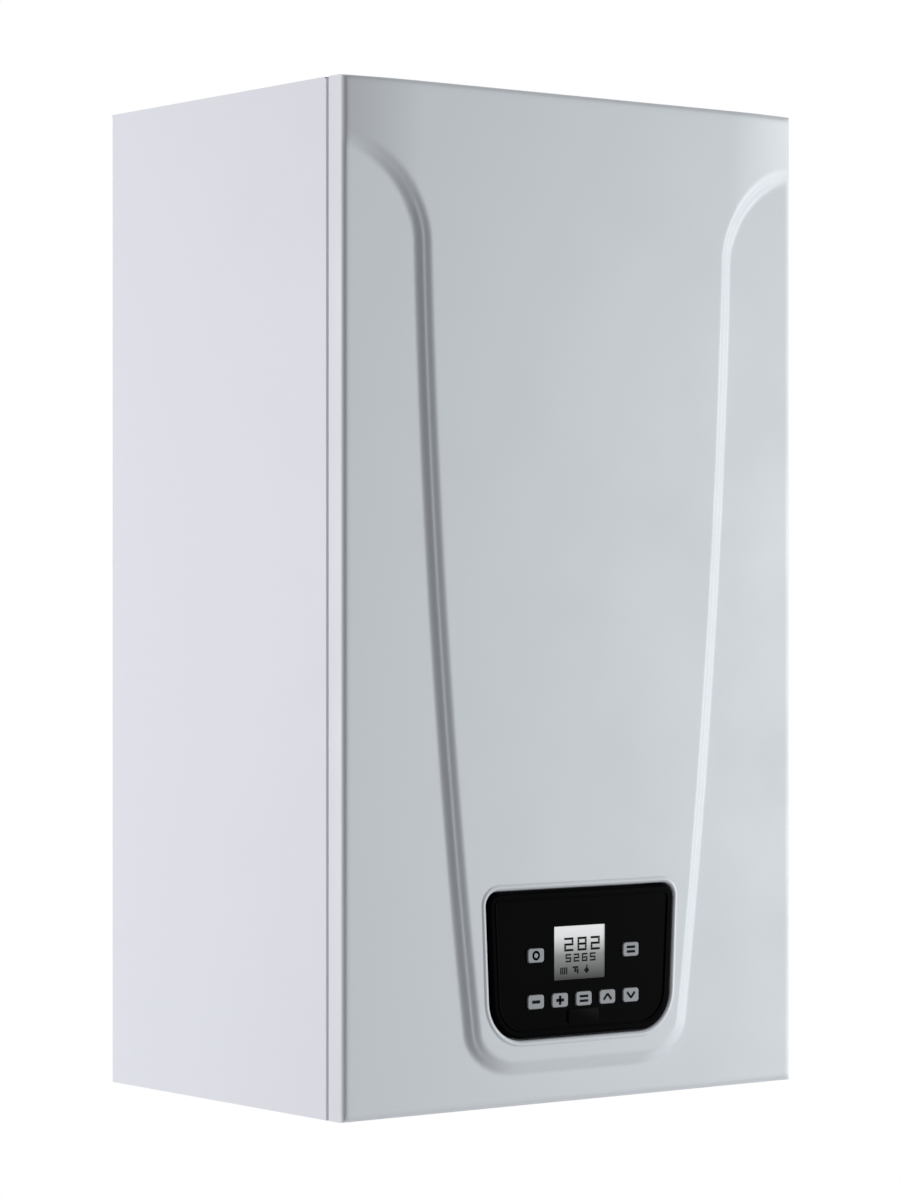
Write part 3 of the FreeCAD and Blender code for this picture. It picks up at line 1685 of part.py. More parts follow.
def front_cover():
    """Pressed tray with rounded edges, the raised shield, and the lipped cut-out for the panel."""
    skin = S.sheet_thick

    def tray(inset, deep, radius):
        thing = block(
            -HALF + inset, COVER_BACK, inset, S.casing_width - 2 * inset, deep, S.casing_height - 2 * inset
        )
        front = COVER_BACK + deep
        return rounded(thing, radius, lambda edge: runs_along(edge, V(0, 1, 0)) or at_depth(edge, front))

    outer = tray(as_size(0), S.cover_flange, S.cover_edge_radius)
    inner = tray(skin, S.cover_flange - skin, S.cover_edge_radius - skin)
    lip_back = SHIELD_DEPTH - S.cutout_lip
    lip = panel_block(S.fascia_gap + skin, lip_back, SHIELD_DEPTH - skin)
    cutout = panel_block(S.fascia_gap, COVER_BACK, SHIELD_DEPTH + S.overrun)
    pressed = less(join(outer, shield(as_size(0))), inner, shield(skin))
    node("front_cover", less(join(pressed, lip), cutout))


def check():
    """Stops if any object failed, or any node's shape is missing or not valid."""
    for thing in DOC.Objects:
        if "Invalid" in thing.State or "Error" in thing.State:
            raise RuntimeError(f"{thing.Name} ({thing.Label}) failed: {thing.State}")
    for label, thing in NODES.items():
        if thing.Shape.isNull() or not thing.Shape.isValid() or not thing.Shape.Solids:
            raise RuntimeError(f"{label} has no valid solid")


hanging_rail()
lower_rail()
back_plate()
side_panel("side_panel_left", -1)
side_panel("side_panel_right", 1)
top_panel()
base_panel()
flue()
fittings()
water_groups()
plate_heat_exchanger()
pump()
expansion_vessel()
heat_exchanger()
burner_door()
fan()
gas_train()
condensate()
risers()
diverter()
safety_valve()
filling_tap()
cable_gland()
control_box()
fascia()
front_cover()

DOC.recompute()
check()
os.makedirs("parts", exist_ok=True)
for label, thing in NODES.items():
    thing.Shape.exportStep(f"parts/{label}.step")
print(f"{len(NODES)} sub-parts written")
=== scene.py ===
# %% [markdown]
# # A wall-hung heating boiler
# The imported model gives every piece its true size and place. This lesson dresses it: a pressed cover,
# a small display with printed marks, screw threads, soft studio light, and a finish for each material.
# We start by loading the model as a fixed frame and noting how big it is.

# %% Load the frame
import json
import math

import bmesh
import bpy
from mathutils import Matrix, Vector


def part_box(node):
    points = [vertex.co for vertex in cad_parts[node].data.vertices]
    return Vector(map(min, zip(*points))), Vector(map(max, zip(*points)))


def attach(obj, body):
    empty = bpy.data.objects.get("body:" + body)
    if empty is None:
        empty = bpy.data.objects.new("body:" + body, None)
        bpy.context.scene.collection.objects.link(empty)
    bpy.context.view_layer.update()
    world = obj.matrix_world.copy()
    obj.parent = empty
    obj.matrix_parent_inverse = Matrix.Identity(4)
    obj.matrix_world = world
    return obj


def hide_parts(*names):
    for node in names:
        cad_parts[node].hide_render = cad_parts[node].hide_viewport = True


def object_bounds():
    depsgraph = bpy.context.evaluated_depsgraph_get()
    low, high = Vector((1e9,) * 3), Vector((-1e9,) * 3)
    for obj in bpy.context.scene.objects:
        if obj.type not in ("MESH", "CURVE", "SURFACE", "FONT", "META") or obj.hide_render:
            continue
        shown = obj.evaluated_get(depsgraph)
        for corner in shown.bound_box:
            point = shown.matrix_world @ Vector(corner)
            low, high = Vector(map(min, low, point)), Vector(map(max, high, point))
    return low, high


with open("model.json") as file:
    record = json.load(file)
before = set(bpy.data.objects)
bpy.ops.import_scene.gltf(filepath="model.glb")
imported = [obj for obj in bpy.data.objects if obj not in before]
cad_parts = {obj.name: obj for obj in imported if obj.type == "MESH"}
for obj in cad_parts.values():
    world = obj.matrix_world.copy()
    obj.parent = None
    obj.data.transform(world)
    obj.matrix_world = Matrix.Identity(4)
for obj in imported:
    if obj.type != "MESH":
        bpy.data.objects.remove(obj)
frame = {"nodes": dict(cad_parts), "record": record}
cad_low, cad_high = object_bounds()
MM = 0.001

# %% [markdown]
# ## Camera
# The product is seen from its left, level with the middle of the casing, through a long lens, so its
# upright edges stay parallel. We could aim by eye, but a level camera needs only a turn and a place.

# %% Camera
VIEW_TURN = math.radians(37.126)
CAMERA_PLACE = Vector((-1.7439, -2.4483, -0.290))
LENS_MM = 119.36
SENSOR_MM = 36.0
VIEW_SHIFT = -0.00125

camera_data = bpy.data.cameras.new("camera")
camera_data.lens = LENS_MM
camera_data.sensor_width = SENSOR_MM
camera_data.sensor_fit = "AUTO"
camera_data.shift_y = VIEW_SHIFT
camera = bpy.data.objects.new("camera", camera_data)
camera.location = CAMERA_PLACE
camera.rotation_euler = (math.radians(90.0), 0.0, -VIEW_TURN)
bpy.context.scene.collection.objects.link(camera)
bpy.context.scene.camera = camera
bpy.context.scene.view_settings.view_transform = "Standard"
print("camera", round(CAMERA_PLACE.length, 3), "m from the origin")

# %% [markdown]
# ## Light
# White paint shows its shape only through shade. A large key lamp stands to the right in front, a second
# one behind on the left lights the side panel, and the pressed steps that face neither turn grey. One even
# dome would be simpler, but it would wash the steps out. Weak lamps overhead and below keep the top and
# the pipe ends readable.

# %% Lamps
casing_middle = (cad_low + cad_high) / 2


def soft_lamp(name, toward, distance, size, power, tint=(1.0, 1.0, 1.0)):
    """A square area lamp, off in one direction from the casing and facing it."""
    data = bpy.data.lights.new(name, "AREA")
    data.shape = "SQUARE"
    data.size = size
    data.energy = power
    data.color = tint
    lamp = bpy.data.objects.new(name, data)
    way = Vector(toward).normalized()
    lamp.location = casing_middle + way * distance
    lamp.rotation_euler = way.to_track_quat("Z", "Y").to_euler()
    bpy.context.scene.collection.objects.link(lamp)


soft_lamp(
    "key_lamp", toward=(0.82, -0.55, -0.02), distance=4.5, size=1.9, power=153.0, tint=(0.96, 1.0, 1.0)
)
soft_lamp(
    "side_lamp", toward=(-0.86, 0.48, 0.04), distance=3.0, size=1.5, power=62.0, tint=(1.0, 0.975, 1.0)
)
soft_lamp("top_lamp", toward=(0.10, 0.62, 0.78), distance=2.6, size=1.6, power=32.0)
soft_lamp("low_lamp", toward=(0.60, -0.10, -0.80), distance=3.2, size=1.6, power=9.0)
print("lamps:", len(bpy.data.lights))

# %% [markdown]
# ## World
# The background is plain white to the camera, in reflections and through glass, while the light that it
# gives to the object stays low. One strength for both would either grey the background or flatten the
# shade. Light Path tells the two apart.

# %% World
AMBIENT_STRENGTH = 0.17
AMBIENT_TINT = (0.96, 0.97, 1.0, 1.0)

world = bpy.data.worlds.new("studio")
bpy.context.scene.world = world
world.use_nodes = True
nodes, links = world.node_tree.nodes, world.node_tree.links
nodes.clear()
path = nodes.new("ShaderNodeLightPath")
shown = path.outputs["Is Camera Ray"]
for ray in ("Is Glossy Ray", "Is Transmission Ray"):
    either = nodes.new("ShaderNodeMath")
    either.operation = "MAXIMUM"
    links.new(shown, either.inputs[0])
    links.new(path.outputs[ray], either.inputs[1])
    shown = either.outputs["Value"]
dim = nodes.new("ShaderNodeBackground")
dim.inputs["Color"].default_value = AMBIENT_TINT
dim.inputs["Strength"].default_value = AMBIENT_STRENGTH
white = nodes.new("ShaderNodeBackground")
white.inputs["Color"].default_value = (1.0, 1.0, 1.0, 1.0)
white.inputs["Strength"].default_value = 1.0
blend = nodes.new("ShaderNodeMixShader")
links.new(shown, blend.inputs["Fac"])
links.new(dim.outputs["Background"], blend.inputs[1])
links.new(white.outputs["Background"], blend.inputs[2])
output = nodes.new("ShaderNodeOutputWorld")
links.new(blend.outputs["Shader"], output.inputs["Surface"])
print("world gives", AMBIENT_STRENGTH, "of its white as light")

# %% [markdown]
# ## Mesh helpers
# Each new piece is drawn as a bmesh and becomes an object at the origin, with its place in its mesh. Some
# steps come back in most pieces: picking out the corners that an operator made, rounding edges, turning a
# sheet's faces to the front, and shading. They are written once here.


# %% Mesh helpers
def mesh_piece(name, bm):
    """A scene object at the origin from a finished bmesh."""
    mesh = bpy.data.meshes.new(name)
    bm.to_mesh(mesh)
    bm.free()
    piece = bpy.data.objects.new(name, mesh)
    bpy.context.scene.collection.objects.link(piece)
    return piece


def verts_in(geom):
    """The vertices among the parts that an operator made."""
    return [part for part in geom if isinstance(part, bmesh.types.BMVert)]


def soften(bm, geom, offset, segments, affect="EDGES", clamp_overlap=False):
    """Rounds edges, or the corners of a flat face."""
    bmesh.ops.bevel(
        bm,
        geom=geom,
        offset=offset,
        offset_type="OFFSET",
        segments=segments,
        profile=0.5,
        affect=affect,
        material=-1,
        clamp_overlap=clamp_overlap,
    )


def face_front(bm):
    """Makes the faces of an open sheet agree, with the foremost one looking to the front."""
    bmesh.ops.recalc_face_normals(bm, faces=bm.faces)
    foremost = min(bm.faces, key=lambda face: face.calc_center_median().y)
    if foremost.normal.y > 0.0:
        bmesh.ops.reverse_faces(bm, faces=bm.faces)


def shade(piece, sharp_degrees):
    """Smooth shading, broken where two faces meet at more than an angle."""
    piece.data.shade_smooth()
    piece.data.set_sharp_from_angle(angle=math.radians(sharp_degrees))


print("mesh helpers ready")

# %% [markdown]
# ## Floor
# The floor is a pale disc well below the casing, as the object hangs on a wall and nothing stands under it.
# A plain disc would end in a hard rim, so it turns clear outwards and melts into the white. It is also
# clear from below and casts no shade, so that the pipe ends can be seen from there and the low lamp
# reaches them.

# %% Floor
FLOOR_DROP = 0.36
FLOOR_Z = cad_low.z - FLOOR_DROP
FLOOR_RADIUS = 1.2
FLOOR_FULL = 0.25
FLOOR_TONE = (0.92, 0.92, 0.92, 1.0)
FLOOR_ROUGHNESS = 0.8

floor_bm = bmesh.new()
bmesh.ops.create_circle(floor_bm, cap_ends=True, segments=96, radius=FLOOR_RADIUS)
bmesh.ops.translate(floor_bm, verts=floor_bm.verts, vec=(0.0, 0.0, FLOOR_Z))
floor = mesh_piece("floor", floor_bm)
floor_paint = bpy.data.materials.new("floor_paint")
floor_paint.use_nodes = True
nodes, links = floor_paint.node_tree.nodes, floor_paint.node_tree.links
floor_shader = nodes["Principled BSDF"]
floor_shader.inputs["Base Color"].default_value = FLOOR_TONE
floor_shader.inputs["Roughness"].default_value = FLOOR_ROUGHNESS
place = nodes.new("ShaderNodeTexCoord")
level = nodes.new("ShaderNodeVectorMath")
level.operation = "MULTIPLY"
level.inputs[1].default_value = (1.0, 1.0, 0.0)
links.new(place.outputs["Object"], level.inputs[0])
reach = nodes.new("ShaderNodeVectorMath")
reach.operation = "LENGTH"
links.new(level.outputs["Vector"], reach.inputs[0])
fade = nodes.new("ShaderNodeMapRange")
fade.interpolation_type = "SMOOTHSTEP"
fade.inputs["From Min"].default_value = FLOOR_FULL
fade.inputs["From Max"].default_value = FLOOR_RADIUS
links.new(reach.outputs["Value"], fade.inputs["Value"])
side = nodes.new("ShaderNodeNewGeometry")
hidden = nodes.new("ShaderNodeMath")
hidden.operation = "MAXIMUM"
links.new(side.outputs["Backfacing"], hidden.inputs[0])
links.new(fade.outputs["Result"], hidden.inputs[1])
clear = nodes.new("ShaderNodeBsdfTransparent")
floor_mix = nodes.new("ShaderNodeMixShader")
links.new(hidden.outputs["Value"], floor_mix.inputs["Fac"])
links.new(floor_shader.outputs["BSDF"], floor_mix.inputs[1])
links.new(clear.outputs["BSDF"], floor_mix.inputs[2])
links.new(floor_mix.outputs["Shader"], nodes["Material Output"].inputs["Surface"])
floor.data.materials.append(floor_paint)
floor.visible_shadow = False
print("floor at", round(FLOOR_Z, 3), "m")

# %% [markdown]
# ## Effects that several finishes share
# Real surfaces are never one flat value. Four small node groups give that: a fine grain with a drifting
# gloss for paint and moulded plastic, a slow change of tone for castings, streaks for drawn or rolled
# metal, and the spangle of zinc crystals on galvanised sheet. A group is built once and placed in each
# material with its own numbers. All read Object coordinates, so a pattern keeps its true size on every
# piece.


# %% Effect helpers
def new_group(name, inputs, outputs):
    """An empty shader group with its sockets, and its input and output nodes."""
    group = bpy.data.node_groups.new(name, "ShaderNodeTree")
    for socket, kind, value in inputs:
        made = group.interface.new_socket(socket, in_out="INPUT", socket_type=kind)
        made.default_value = value
    for socket, kind in outputs:
        group.interface.new_socket(socket, in_out="OUTPUT", socket_type=kind)
    return group, group.nodes.new("NodeGroupInput"), group.nodes.new("NodeGroupOutput")


def object_noise(group, scale_socket, detail, stretch=None):
    """A noise on Object coordinates inside a group, stretched along some axes if asked."""
    place = group.nodes.new("ShaderNodeTexCoord").outputs["Object"]
    if stretch:
        mapping = group.nodes.new("ShaderNodeMapping")
        mapping.inputs["Scale"].default_value = stretch
        group.links.new(place, mapping.inputs["Vector"])
        place = mapping.outputs["Vector"]
    noise = group.nodes.new("ShaderNodeTexNoise")
    noise.inputs["Detail"].default_value = detail
    group.links.new(place, noise.inputs["Vector"])
    group.links.new(scale_socket, noise.inputs["Scale"])
    return noise.outputs["Fac"]


def low_to_high(group, given, value):
    """Spreads a value from 0 to 1 over the group's Low to High."""
    remap = group.nodes.new("ShaderNodeMapRange")
    group.links.new(value, remap.inputs["Value"])
    group.links.new(given.outputs["Low"], remap.inputs["To Min"])
    group.links.new(given.outputs["High"], remap.inputs["To Max"])
    return remap.outputs["Result"]


def light_to_dark(group, given, value):
    """Mixes the group's Light and Dark by a value from 0 to 1."""
    mix = group.nodes.new("ShaderNodeMix")
    mix.data_type = "RGBA"
    group.links.new(value, mix.inputs["Factor"])
    group.links.new(given.outputs["Light"], mix.inputs["A"])
    group.links.new(given.outputs["Dark"], mix.inputs["B"])
    return mix.outputs["Result"]


print("effect helpers ready")


# %% Shared effects
STREAK_STRETCH = (18.0, 18.0, 0.6)


def grain_group():
    group, given, made = new_group(
        "fine_grain",
        [
            ("Scale", "NodeSocketFloat", 900.0),
            ("Patch", "NodeSocketFloat", 14.0),
            ("Low", "NodeSocketFloat", 0.35),
            ("High", "NodeSocketFloat", 0.45),
        ],
        [("Height", "NodeSocketFloat"), ("Roughness", "NodeSocketFloat")],
    )
    fine = object_noise(group, given.outputs["Scale"], detail=2.0)
    patches = object_noise(group, given.outputs["Patch"], detail=3.0)
    group.links.new(fine, made.inputs["Height"])
    group.links.new(low_to_high(group, given, patches), made.inputs["Roughness"])
    return group


def tone_group():
    group, given, made = new_group(
        "slow_tone",
        [
            ("Light", "NodeSocketColor", (0.8, 0.8, 0.8, 1.0)),
            ("Dark", "NodeSocketColor", (0.7, 0.7, 0.7, 1.0)),
            ("Scale", "NodeSocketFloat", 20.0),
        ],
        [("Color", "NodeSocketColor")],
    )
    slow = object_noise(group, given.outputs["Scale"], detail=4.0)
    group.links.new(light_to_dark(group, given, slow), made.inputs["Color"])
    return group


def streak_group():
    group, given, made = new_group(
        "drawn_streaks",
        [
            ("Scale", "NodeSocketFloat", 60.0),
            ("Low", "NodeSocketFloat", 0.25),
            ("High", "NodeSocketFloat", 0.45),
        ],
        [("Roughness", "NodeSocketFloat")],
    )
    streaks = object_noise(group, given.outputs["Scale"], detail=3.0, stretch=STREAK_STRETCH)
    group.links.new(low_to_high(group, given, streaks), made.inputs["Roughness"])
    return group


def spangle_group():
    group, given, made = new_group(
        "zinc_spangle",
        [
            ("Scale", "NodeSocketFloat", 150.0),
            ("Light", "NodeSocketColor", (0.6, 0.6, 0.6, 1.0)),
            ("Dark", "NodeSocketColor", (0.5, 0.5, 0.5, 1.0)),
            ("Low", "NodeSocketFloat", 0.3),
            ("High", "NodeSocketFloat", 0.5),
        ],
        [("Color", "NodeSocketColor"), ("Roughness", "NodeSocketFloat")],
    )
    place = group.nodes.new("ShaderNodeTexCoord")
    crystals = group.nodes.new("ShaderNodeTexVoronoi")
    group.links.new(place.outputs["Object"], crystals.inputs["Vector"])
    group.links.new(given.outputs["Scale"], crystals.inputs["Scale"])
    split = group.nodes.new("ShaderNodeSeparateColor")
    group.links.new(crystals.outputs["Color"], split.inputs["Color"])
    group.links.new(light_to_dark(group, given, split.outputs["Red"]), made.inputs["Color"])
    group.links.new(low_to_high(group, given, split.outputs["Green"]), made.inputs["Roughness"])
    return group


FINE_GRAIN = grain_group()
SLOW_TONE = tone_group()
DRAWN_STREAKS = streak_group()
ZINC_SPANGLE = spangle_group()
print("shared effects:", [group.name for group in (FINE_GRAIN, SLOW_TONE, DRAWN_STREAKS, ZINC_SPANGLE)])

# %% [markdown]
# ## Finishes
# Each finish is one Principled shader. Numbers that are the same all over sit on its own sockets, and only
# what changes over the surface comes from a group. Powder coat gets a fine orange-peel bump, castings a
# coarser one, drawn copper and brass get streaks in their gloss.

# %% Finish helpers
GLOSS_DRIFT = 0.25


def finish(name, colour, roughness, metallic=0.0, specular=0.5):
    """A material with its plain values on the shader's own sockets."""
    material = bpy.data.materials.new(name)
    material.use_nodes = True
    shader = shader_of(material)
    shader.inputs["Base Color"].default_value = (*colour, 1.0)
    shader.inputs["Roughness"].default_value = roughness
    shader.inputs["Metallic"].default_value = metallic
    shader.inputs["Specular IOR Level"].default_value = specular
    return material


def shader_of(material):
    return material.node_tree.nodes["Principled BSDF"]


def place_group(material, group, **values):
    """Puts a shared effect into a material, with its own values."""
    node = material.node_tree.nodes.new("ShaderNodeGroup")
    node.node_tree = group
    for socket, value in values.items():
        node.inputs[socket].default_value = value
    return node


def grained(material, scale, strength, distance):
    """A fine bump all over, and a gloss that drifts a little round its plain value."""
    gloss = shader_of(material).inputs["Roughness"]
    low, high = ((1.0 + drift) * gloss.default_value for drift in (-GLOSS_DRIFT, GLOSS_DRIFT))
    node = place_group(material, FINE_GRAIN, Scale=scale, Low=low, High=high)
    bump = material.node_tree.nodes.new("ShaderNodeBump")
    bump.inputs["Strength"].default_value = strength
    bump.inputs["Distance"].default_value = distance
    links = material.node_tree.links
    links.new(node.outputs["Height"], bump.inputs["Height"])
    links.new(bump.outputs["Normal"], shader_of(material).inputs["Normal"])
    links.new(node.outputs["Roughness"], gloss)
    return material


def toned(material, dark, scale):
    """Lets the base colour drift slowly towards a darker tone."""
    base = shader_of(material).inputs["Base Color"]
    light = tuple(base.default_value)
    node = place_group(material, SLOW_TONE, Light=light, Dark=(*dark, 1.0), Scale=scale)
    material.node_tree.links.new(node.outputs["Color"], base)
    return material


def streaked(material, scale, low, high):
    """Gives the gloss long streaks."""
    node = place_group(material, DRAWN_STREAKS, Scale=scale, Low=low, High=high)
    material.node_tree.links.new(node.outputs["Roughness"], shader_of(material).inputs["Roughness"])
    return material


def spangled(material, dark, scale, low, high):
    """Breaks colour and gloss up into crystals."""
    base = shader_of(material).inputs["Base Color"]
    light = tuple(base.default_value)
    node = place_group(
        material, ZINC_SPANGLE, Scale=scale, Light=light, Dark=(*dark, 1.0), Low=low, High=high
    )
    material.node_tree.links.new(node.outputs["Color"], base)
    material.node_tree.links.new(node.outputs["Roughness"], shader_of(material).inputs["Roughness"])
    return material


print("finish helpers ready")

# %% Finishes of the casing and the inner pieces
# finish: name, colour, roughness, metallic; grained: scale, strength, distance in metres;
# toned: darker tone, scale; streaked: scale, gloss from, to; spangled: darker tone, scale, gloss from, to
FINISHES = {
    "casing_paint": grained(
        finish("white_powder_coat", (0.76, 0.785, 0.83), 0.44), 700.0, 0.05, 0.0004
    ),
    "galvanised": spangled(
        finish("galvanised_sheet", (0.46, 0.48, 0.50), 0.4, 1.0), (0.37, 0.39, 0.41), 170.0, 0.34, 0.5
    ),
    "fascia_black": grained(
        finish("black_fascia", (0.001, 0.001, 0.0013), 0.35, specular=0.008), 1200.0, 0.02, 0.0002
    ),
    "lcd_glass": finish("display_glass", (0.62, 0.64, 0.64), 0.12),
    "lcd_face": grained(finish("display_back", (0.05, 0.05, 0.055), 0.5), 1500.0, 0.05, 0.0002),
    "button_grey": grained(finish("grey_button", (0.265, 0.275, 0.295), 0.45), 1500.0, 0.05, 0.0002),
    "board_green": toned(finish("green_board", (0.02, 0.16, 0.06), 0.4), (0.01, 0.10, 0.04), 160.0),
    "control_plastic": grained(finish("grey_moulding", (0.16, 0.17, 0.18), 0.55), 1400.0, 0.12, 0.0003),
    "flue_plastic": grained(finish("white_flue_plastic", (0.72, 0.73, 0.72), 0.4), 1000.0, 0.05, 0.0003),
    "trap_plastic": grained(finish("grey_trap_plastic", (0.32, 0.33, 0.34), 0.45), 1100.0, 0.08, 0.0003),
    "brass": streaked(finish("turned_brass", (0.60, 0.42, 0.17), 0.3, 1.0), 30.0, 0.22, 0.42),
    "group_composite": grained(finish("black_composite", (0.045, 0.047, 0.05), 0.5), 900.0, 0.15, 0.0003),
    "stainless": streaked(finish("stainless_sheet", (0.44, 0.43, 0.42), 0.3, 1.0), 25.0, 0.24, 0.42),
    "pump_can": grained(finish("grey_pump_can", (0.16, 0.17, 0.19), 0.4, 0.3), 1000.0, 0.06, 0.0003),
    "rotor": grained(finish("rotor_plastic", (0.10, 0.10, 0.11), 0.5), 1000.0, 0.08, 0.0003),
    "vessel_red": grained(
        finish("red_vessel_paint", (0.36, 0.014, 0.012), 0.5, specular=0.2), 600.0, 0.08, 0.0004
    ),
    "cast_aluminium": grained(
        toned(finish("cast_aluminium", (0.36, 0.37, 0.385), 0.55, 1.0), (0.28, 0.29, 0.30), 30.0),
        1300.0,
        0.3,
        0.0004,
    ),
    "zinc": grained(
        toned(finish("zinc_casting", (0.34, 0.35, 0.37), 0.5, 1.0), (0.26, 0.27, 0.29), 40.0),
        1200.0,
        0.2,
        0.0003,
    ),
    "motor_black": grained(finish("black_motor_plastic", (0.03, 0.03, 0.032), 0.5), 1300.0, 0.1, 0.0003),
    "copper": streaked(finish("drawn_copper", (0.62, 0.29, 0.17), 0.3, 1.0), 25.0, 0.24, 0.45),
    "stem_steel": streaked(finish("ground_steel", (0.52, 0.52, 0.52), 0.25, 1.0), 60.0, 0.15, 0.3),
    "knob_red": grained(finish("red_knob", (0.45, 0.03, 0.03), 0.45), 1200.0, 0.06, 0.0003),
    "knob_blue": grained(finish("blue_knob", (0.03, 0.12, 0.42), 0.45), 1200.0, 0.06, 0.0003),
}

for part in frame["record"]["subparts"]:
    node_object = frame["nodes"][part["node"]]
    node_object.data.materials.clear()
    node_object.data.materials.append(FINISHES[part["material_slot"]])
print("finishes:", len(FINISHES))

# %% [markdown]
# ## The display
# The liquid-crystal glass is lit from behind, more at its top edge, and fades downwards. A gradient along
# the glass's own height gives that, both as colour and as a weak glow. The digits are thin bars on the
# glass; a picture of them would be easier, but bars stay sharp at any distance.

# %% Display glass
GLASS_DARK = (0.02, 0.02, 0.022, 1.0)
GLASS_BRIGHT = (0.97, 0.97, 0.97, 1.0)
# greys between the two, each after its share of the glass's height
GLASS_TONES = ((0.45, 0.28), (0.80, 0.86))
GLASS_GLOW = 0.2

glass_low, glass_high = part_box("lcd_window")
glass_wide = glass_high.x - glass_low.x
glass_tall = glass_high.z - glass_low.z
glass_shader = shader_of(FINISHES["lcd_glass"])
nodes, links = FINISHES["lcd_glass"].node_tree.nodes, FINISHES["lcd_glass"].node_tree.links
place = nodes.new("ShaderNodeTexCoord")
split = nodes.new("ShaderNodeSeparateXYZ")
links.new(place.outputs["Object"], split.inputs["Vector"])
height = nodes.new("ShaderNodeMapRange")
height.inputs["From Min"].default_value = glass_low.z
height.inputs["From Max"].default_value = glass_high.z
links.new(split.outputs["Z"], height.inputs["Value"])
ramp = nodes.new("ShaderNodeValToRGB")
ramp.color_ramp.elements[0].color = GLASS_DARK
ramp.color_ramp.elements[1].color = GLASS_BRIGHT
for share, tone in GLASS_TONES:
    ramp.color_ramp.elements.new(share).color = (tone, tone, tone, 1.0)
links.new(height.outputs["Result"], ramp.inputs["Fac"])
for socket in ("Base Color", "Emission Color"):
    links.new(ramp.outputs["Color"], glass_shader.inputs[socket])
glass_shader.inputs["Emission Strength"].default_value = GLASS_GLOW
print("display glass", round(glass_tall / MM, 1), "mm high")

# %% Printed bars
PRINT_THICK = 0.08 * MM
PRINT_FINISH = grained(
    finish("dark_print", (0.004, 0.004, 0.005), 0.7, specular=0.05), 2500.0, 0.05, 0.0001
)


def bar(bm, x, y, z, width, high, lean=0.0):
    """A thin upright bar centred on a place, leaning sideways by an angle."""
    made = bmesh.ops.create_cube(bm, size=1.0)["verts"]
    bmesh.ops.scale(bm, verts=made, vec=(width, PRINT_THICK, high))
    bmesh.ops.rotate(bm, verts=made, cent=(0, 0, 0), matrix=Matrix.Rotation(lean, 3, "Y"))
    bmesh.ops.translate(bm, verts=made, vec=(x, y, z))


def on_glass(across, up):
    """A place on the glass from its shares of the width and the height."""
    return glass_low.x + across * glass_wide, glass_low.y, glass_low.z + up * glass_tall


def glass_bar(bm, across, up, wide, tall):
    """A bar on the glass, with its place and its sides as shares of the glass."""
    bar(bm, *on_glass(across, up), wide * glass_wide, tall * glass_tall)


print("print", round(PRINT_THICK / MM, 2), "mm thick")

# %% Display digits
UPRIGHT_SHORT = 1.15
# the bars that a digit lights, counted clockwise from the top, with the middle one last
DIGIT_BARS = {
    "2": (0, 1, 6, 4, 3),
    "5": (0, 5, 6, 2, 3),
    "6": (0, 5, 6, 2, 3, 4),
    "8": (0, 1, 2, 3, 4, 5, 6),
}
# digits with their places across the glass, then height up the glass, width, height and stroke
DIGIT_ROWS = (
    ((("2", 0.29), ("8", 0.55), ("2", 0.81)), 0.655, 0.145, 0.215, 0.034),
    ((("5", 0.28), ("2", 0.44), ("6", 0.60), ("5", 0.76)), 0.400, 0.085, 0.125, 0.024),
)
# bars of the signs along the bottom: place across and up the glass, width and height
RADIATOR = tuple((0.19 + (i - 1.5) * 0.038, 0.165, 0.024, 0.13) for i in range(4))
TAP = ((0.42, 0.220, 0.11, 0.035), (0.42, 0.165, 0.04, 0.07), (0.465, 0.145, 0.03, 0.09))
FLAME_TIP = (0.644, 0.230, 0.022, 0.05)
FLAME_FOOT = (0.64, 0.155)
FLAME_SIDE = 0.075 * glass_wide
FLAME_LEAN = math.radians(45.0)


def digit(bm, sign, x, y, z, width, high, stroke):
    """One seven-bar digit centred on a place, its uprights a hair short of the level bars."""
    upright = high / 2 - UPRIGHT_SHORT * stroke
    level = width + stroke
    places = [
        (0, high / 2, level, stroke),
        (width / 2, high / 4, stroke, upright),
        (width / 2, -high / 4, stroke, upright),
        (0, -high / 2, level, stroke),
        (-width / 2, -high / 4, stroke, upright),
        (-width / 2, high / 4, stroke, upright),
        (0, 0, level, stroke),
    ]
    for i in DIGIT_BARS[sign]:
        across, up, wide, tall = places[i]
        bar(bm, x + across, y, z + up, wide, tall)


digits_bm = bmesh.new()
for signs, up, wide, tall, stroke in DIGIT_ROWS:
    for sign, across in signs:
        place = on_glass(across, up)
        digit(digits_bm, sign, *place, wide * glass_wide, tall * glass_tall, stroke * glass_wide)
for shares in (*RADIATOR, *TAP, FLAME_TIP):
    glass_bar(digits_bm, *shares)
bar(digits_bm, *on_glass(*FLAME_FOOT), FLAME_SIDE, FLAME_SIDE, FLAME_LEAN)
display_digits = mesh_piece("display_digits", digits_bm)
display_digits.data.materials.append(PRINT_FINISH)
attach(display_digits, "controls")
print("display digits:", len(display_digits.data.polygons), "faces")

# %% [markdown]
# ## Button marks
# Each key carries a small dark printed mark: a ring, two lines, a minus, a plus or a chevron. A sunk
# engraving would catch the light, but a print is only a film, so thin bars lying on the key are enough.
# Each mark rides on its own key, so that it goes in with it.

# %% Marks
MARK_WIDE = 7.0 * MM
MARK_STROKE = 2.2 * MM
PLUS_HIGH = 6.4 * MM
LINES_WIDE = 7.6 * MM
LINES_STROKE = 1.8 * MM
LINES_APART = 3.2 * MM
CHEVRON_HIGH = 5.4 * MM
CHEVRON_SHARE = 0.32
CHEVRON_LEAN = math.radians(40.0)
RING_RADIUS = 3.4 * MM
RING_BORE = 0.5
STANDING = Matrix.Rotation(math.radians(90.0), 3, "X")


def mark_minus(bm, x, y, z):
    bar(bm, x, y, z, MARK_WIDE, MARK_STROKE)


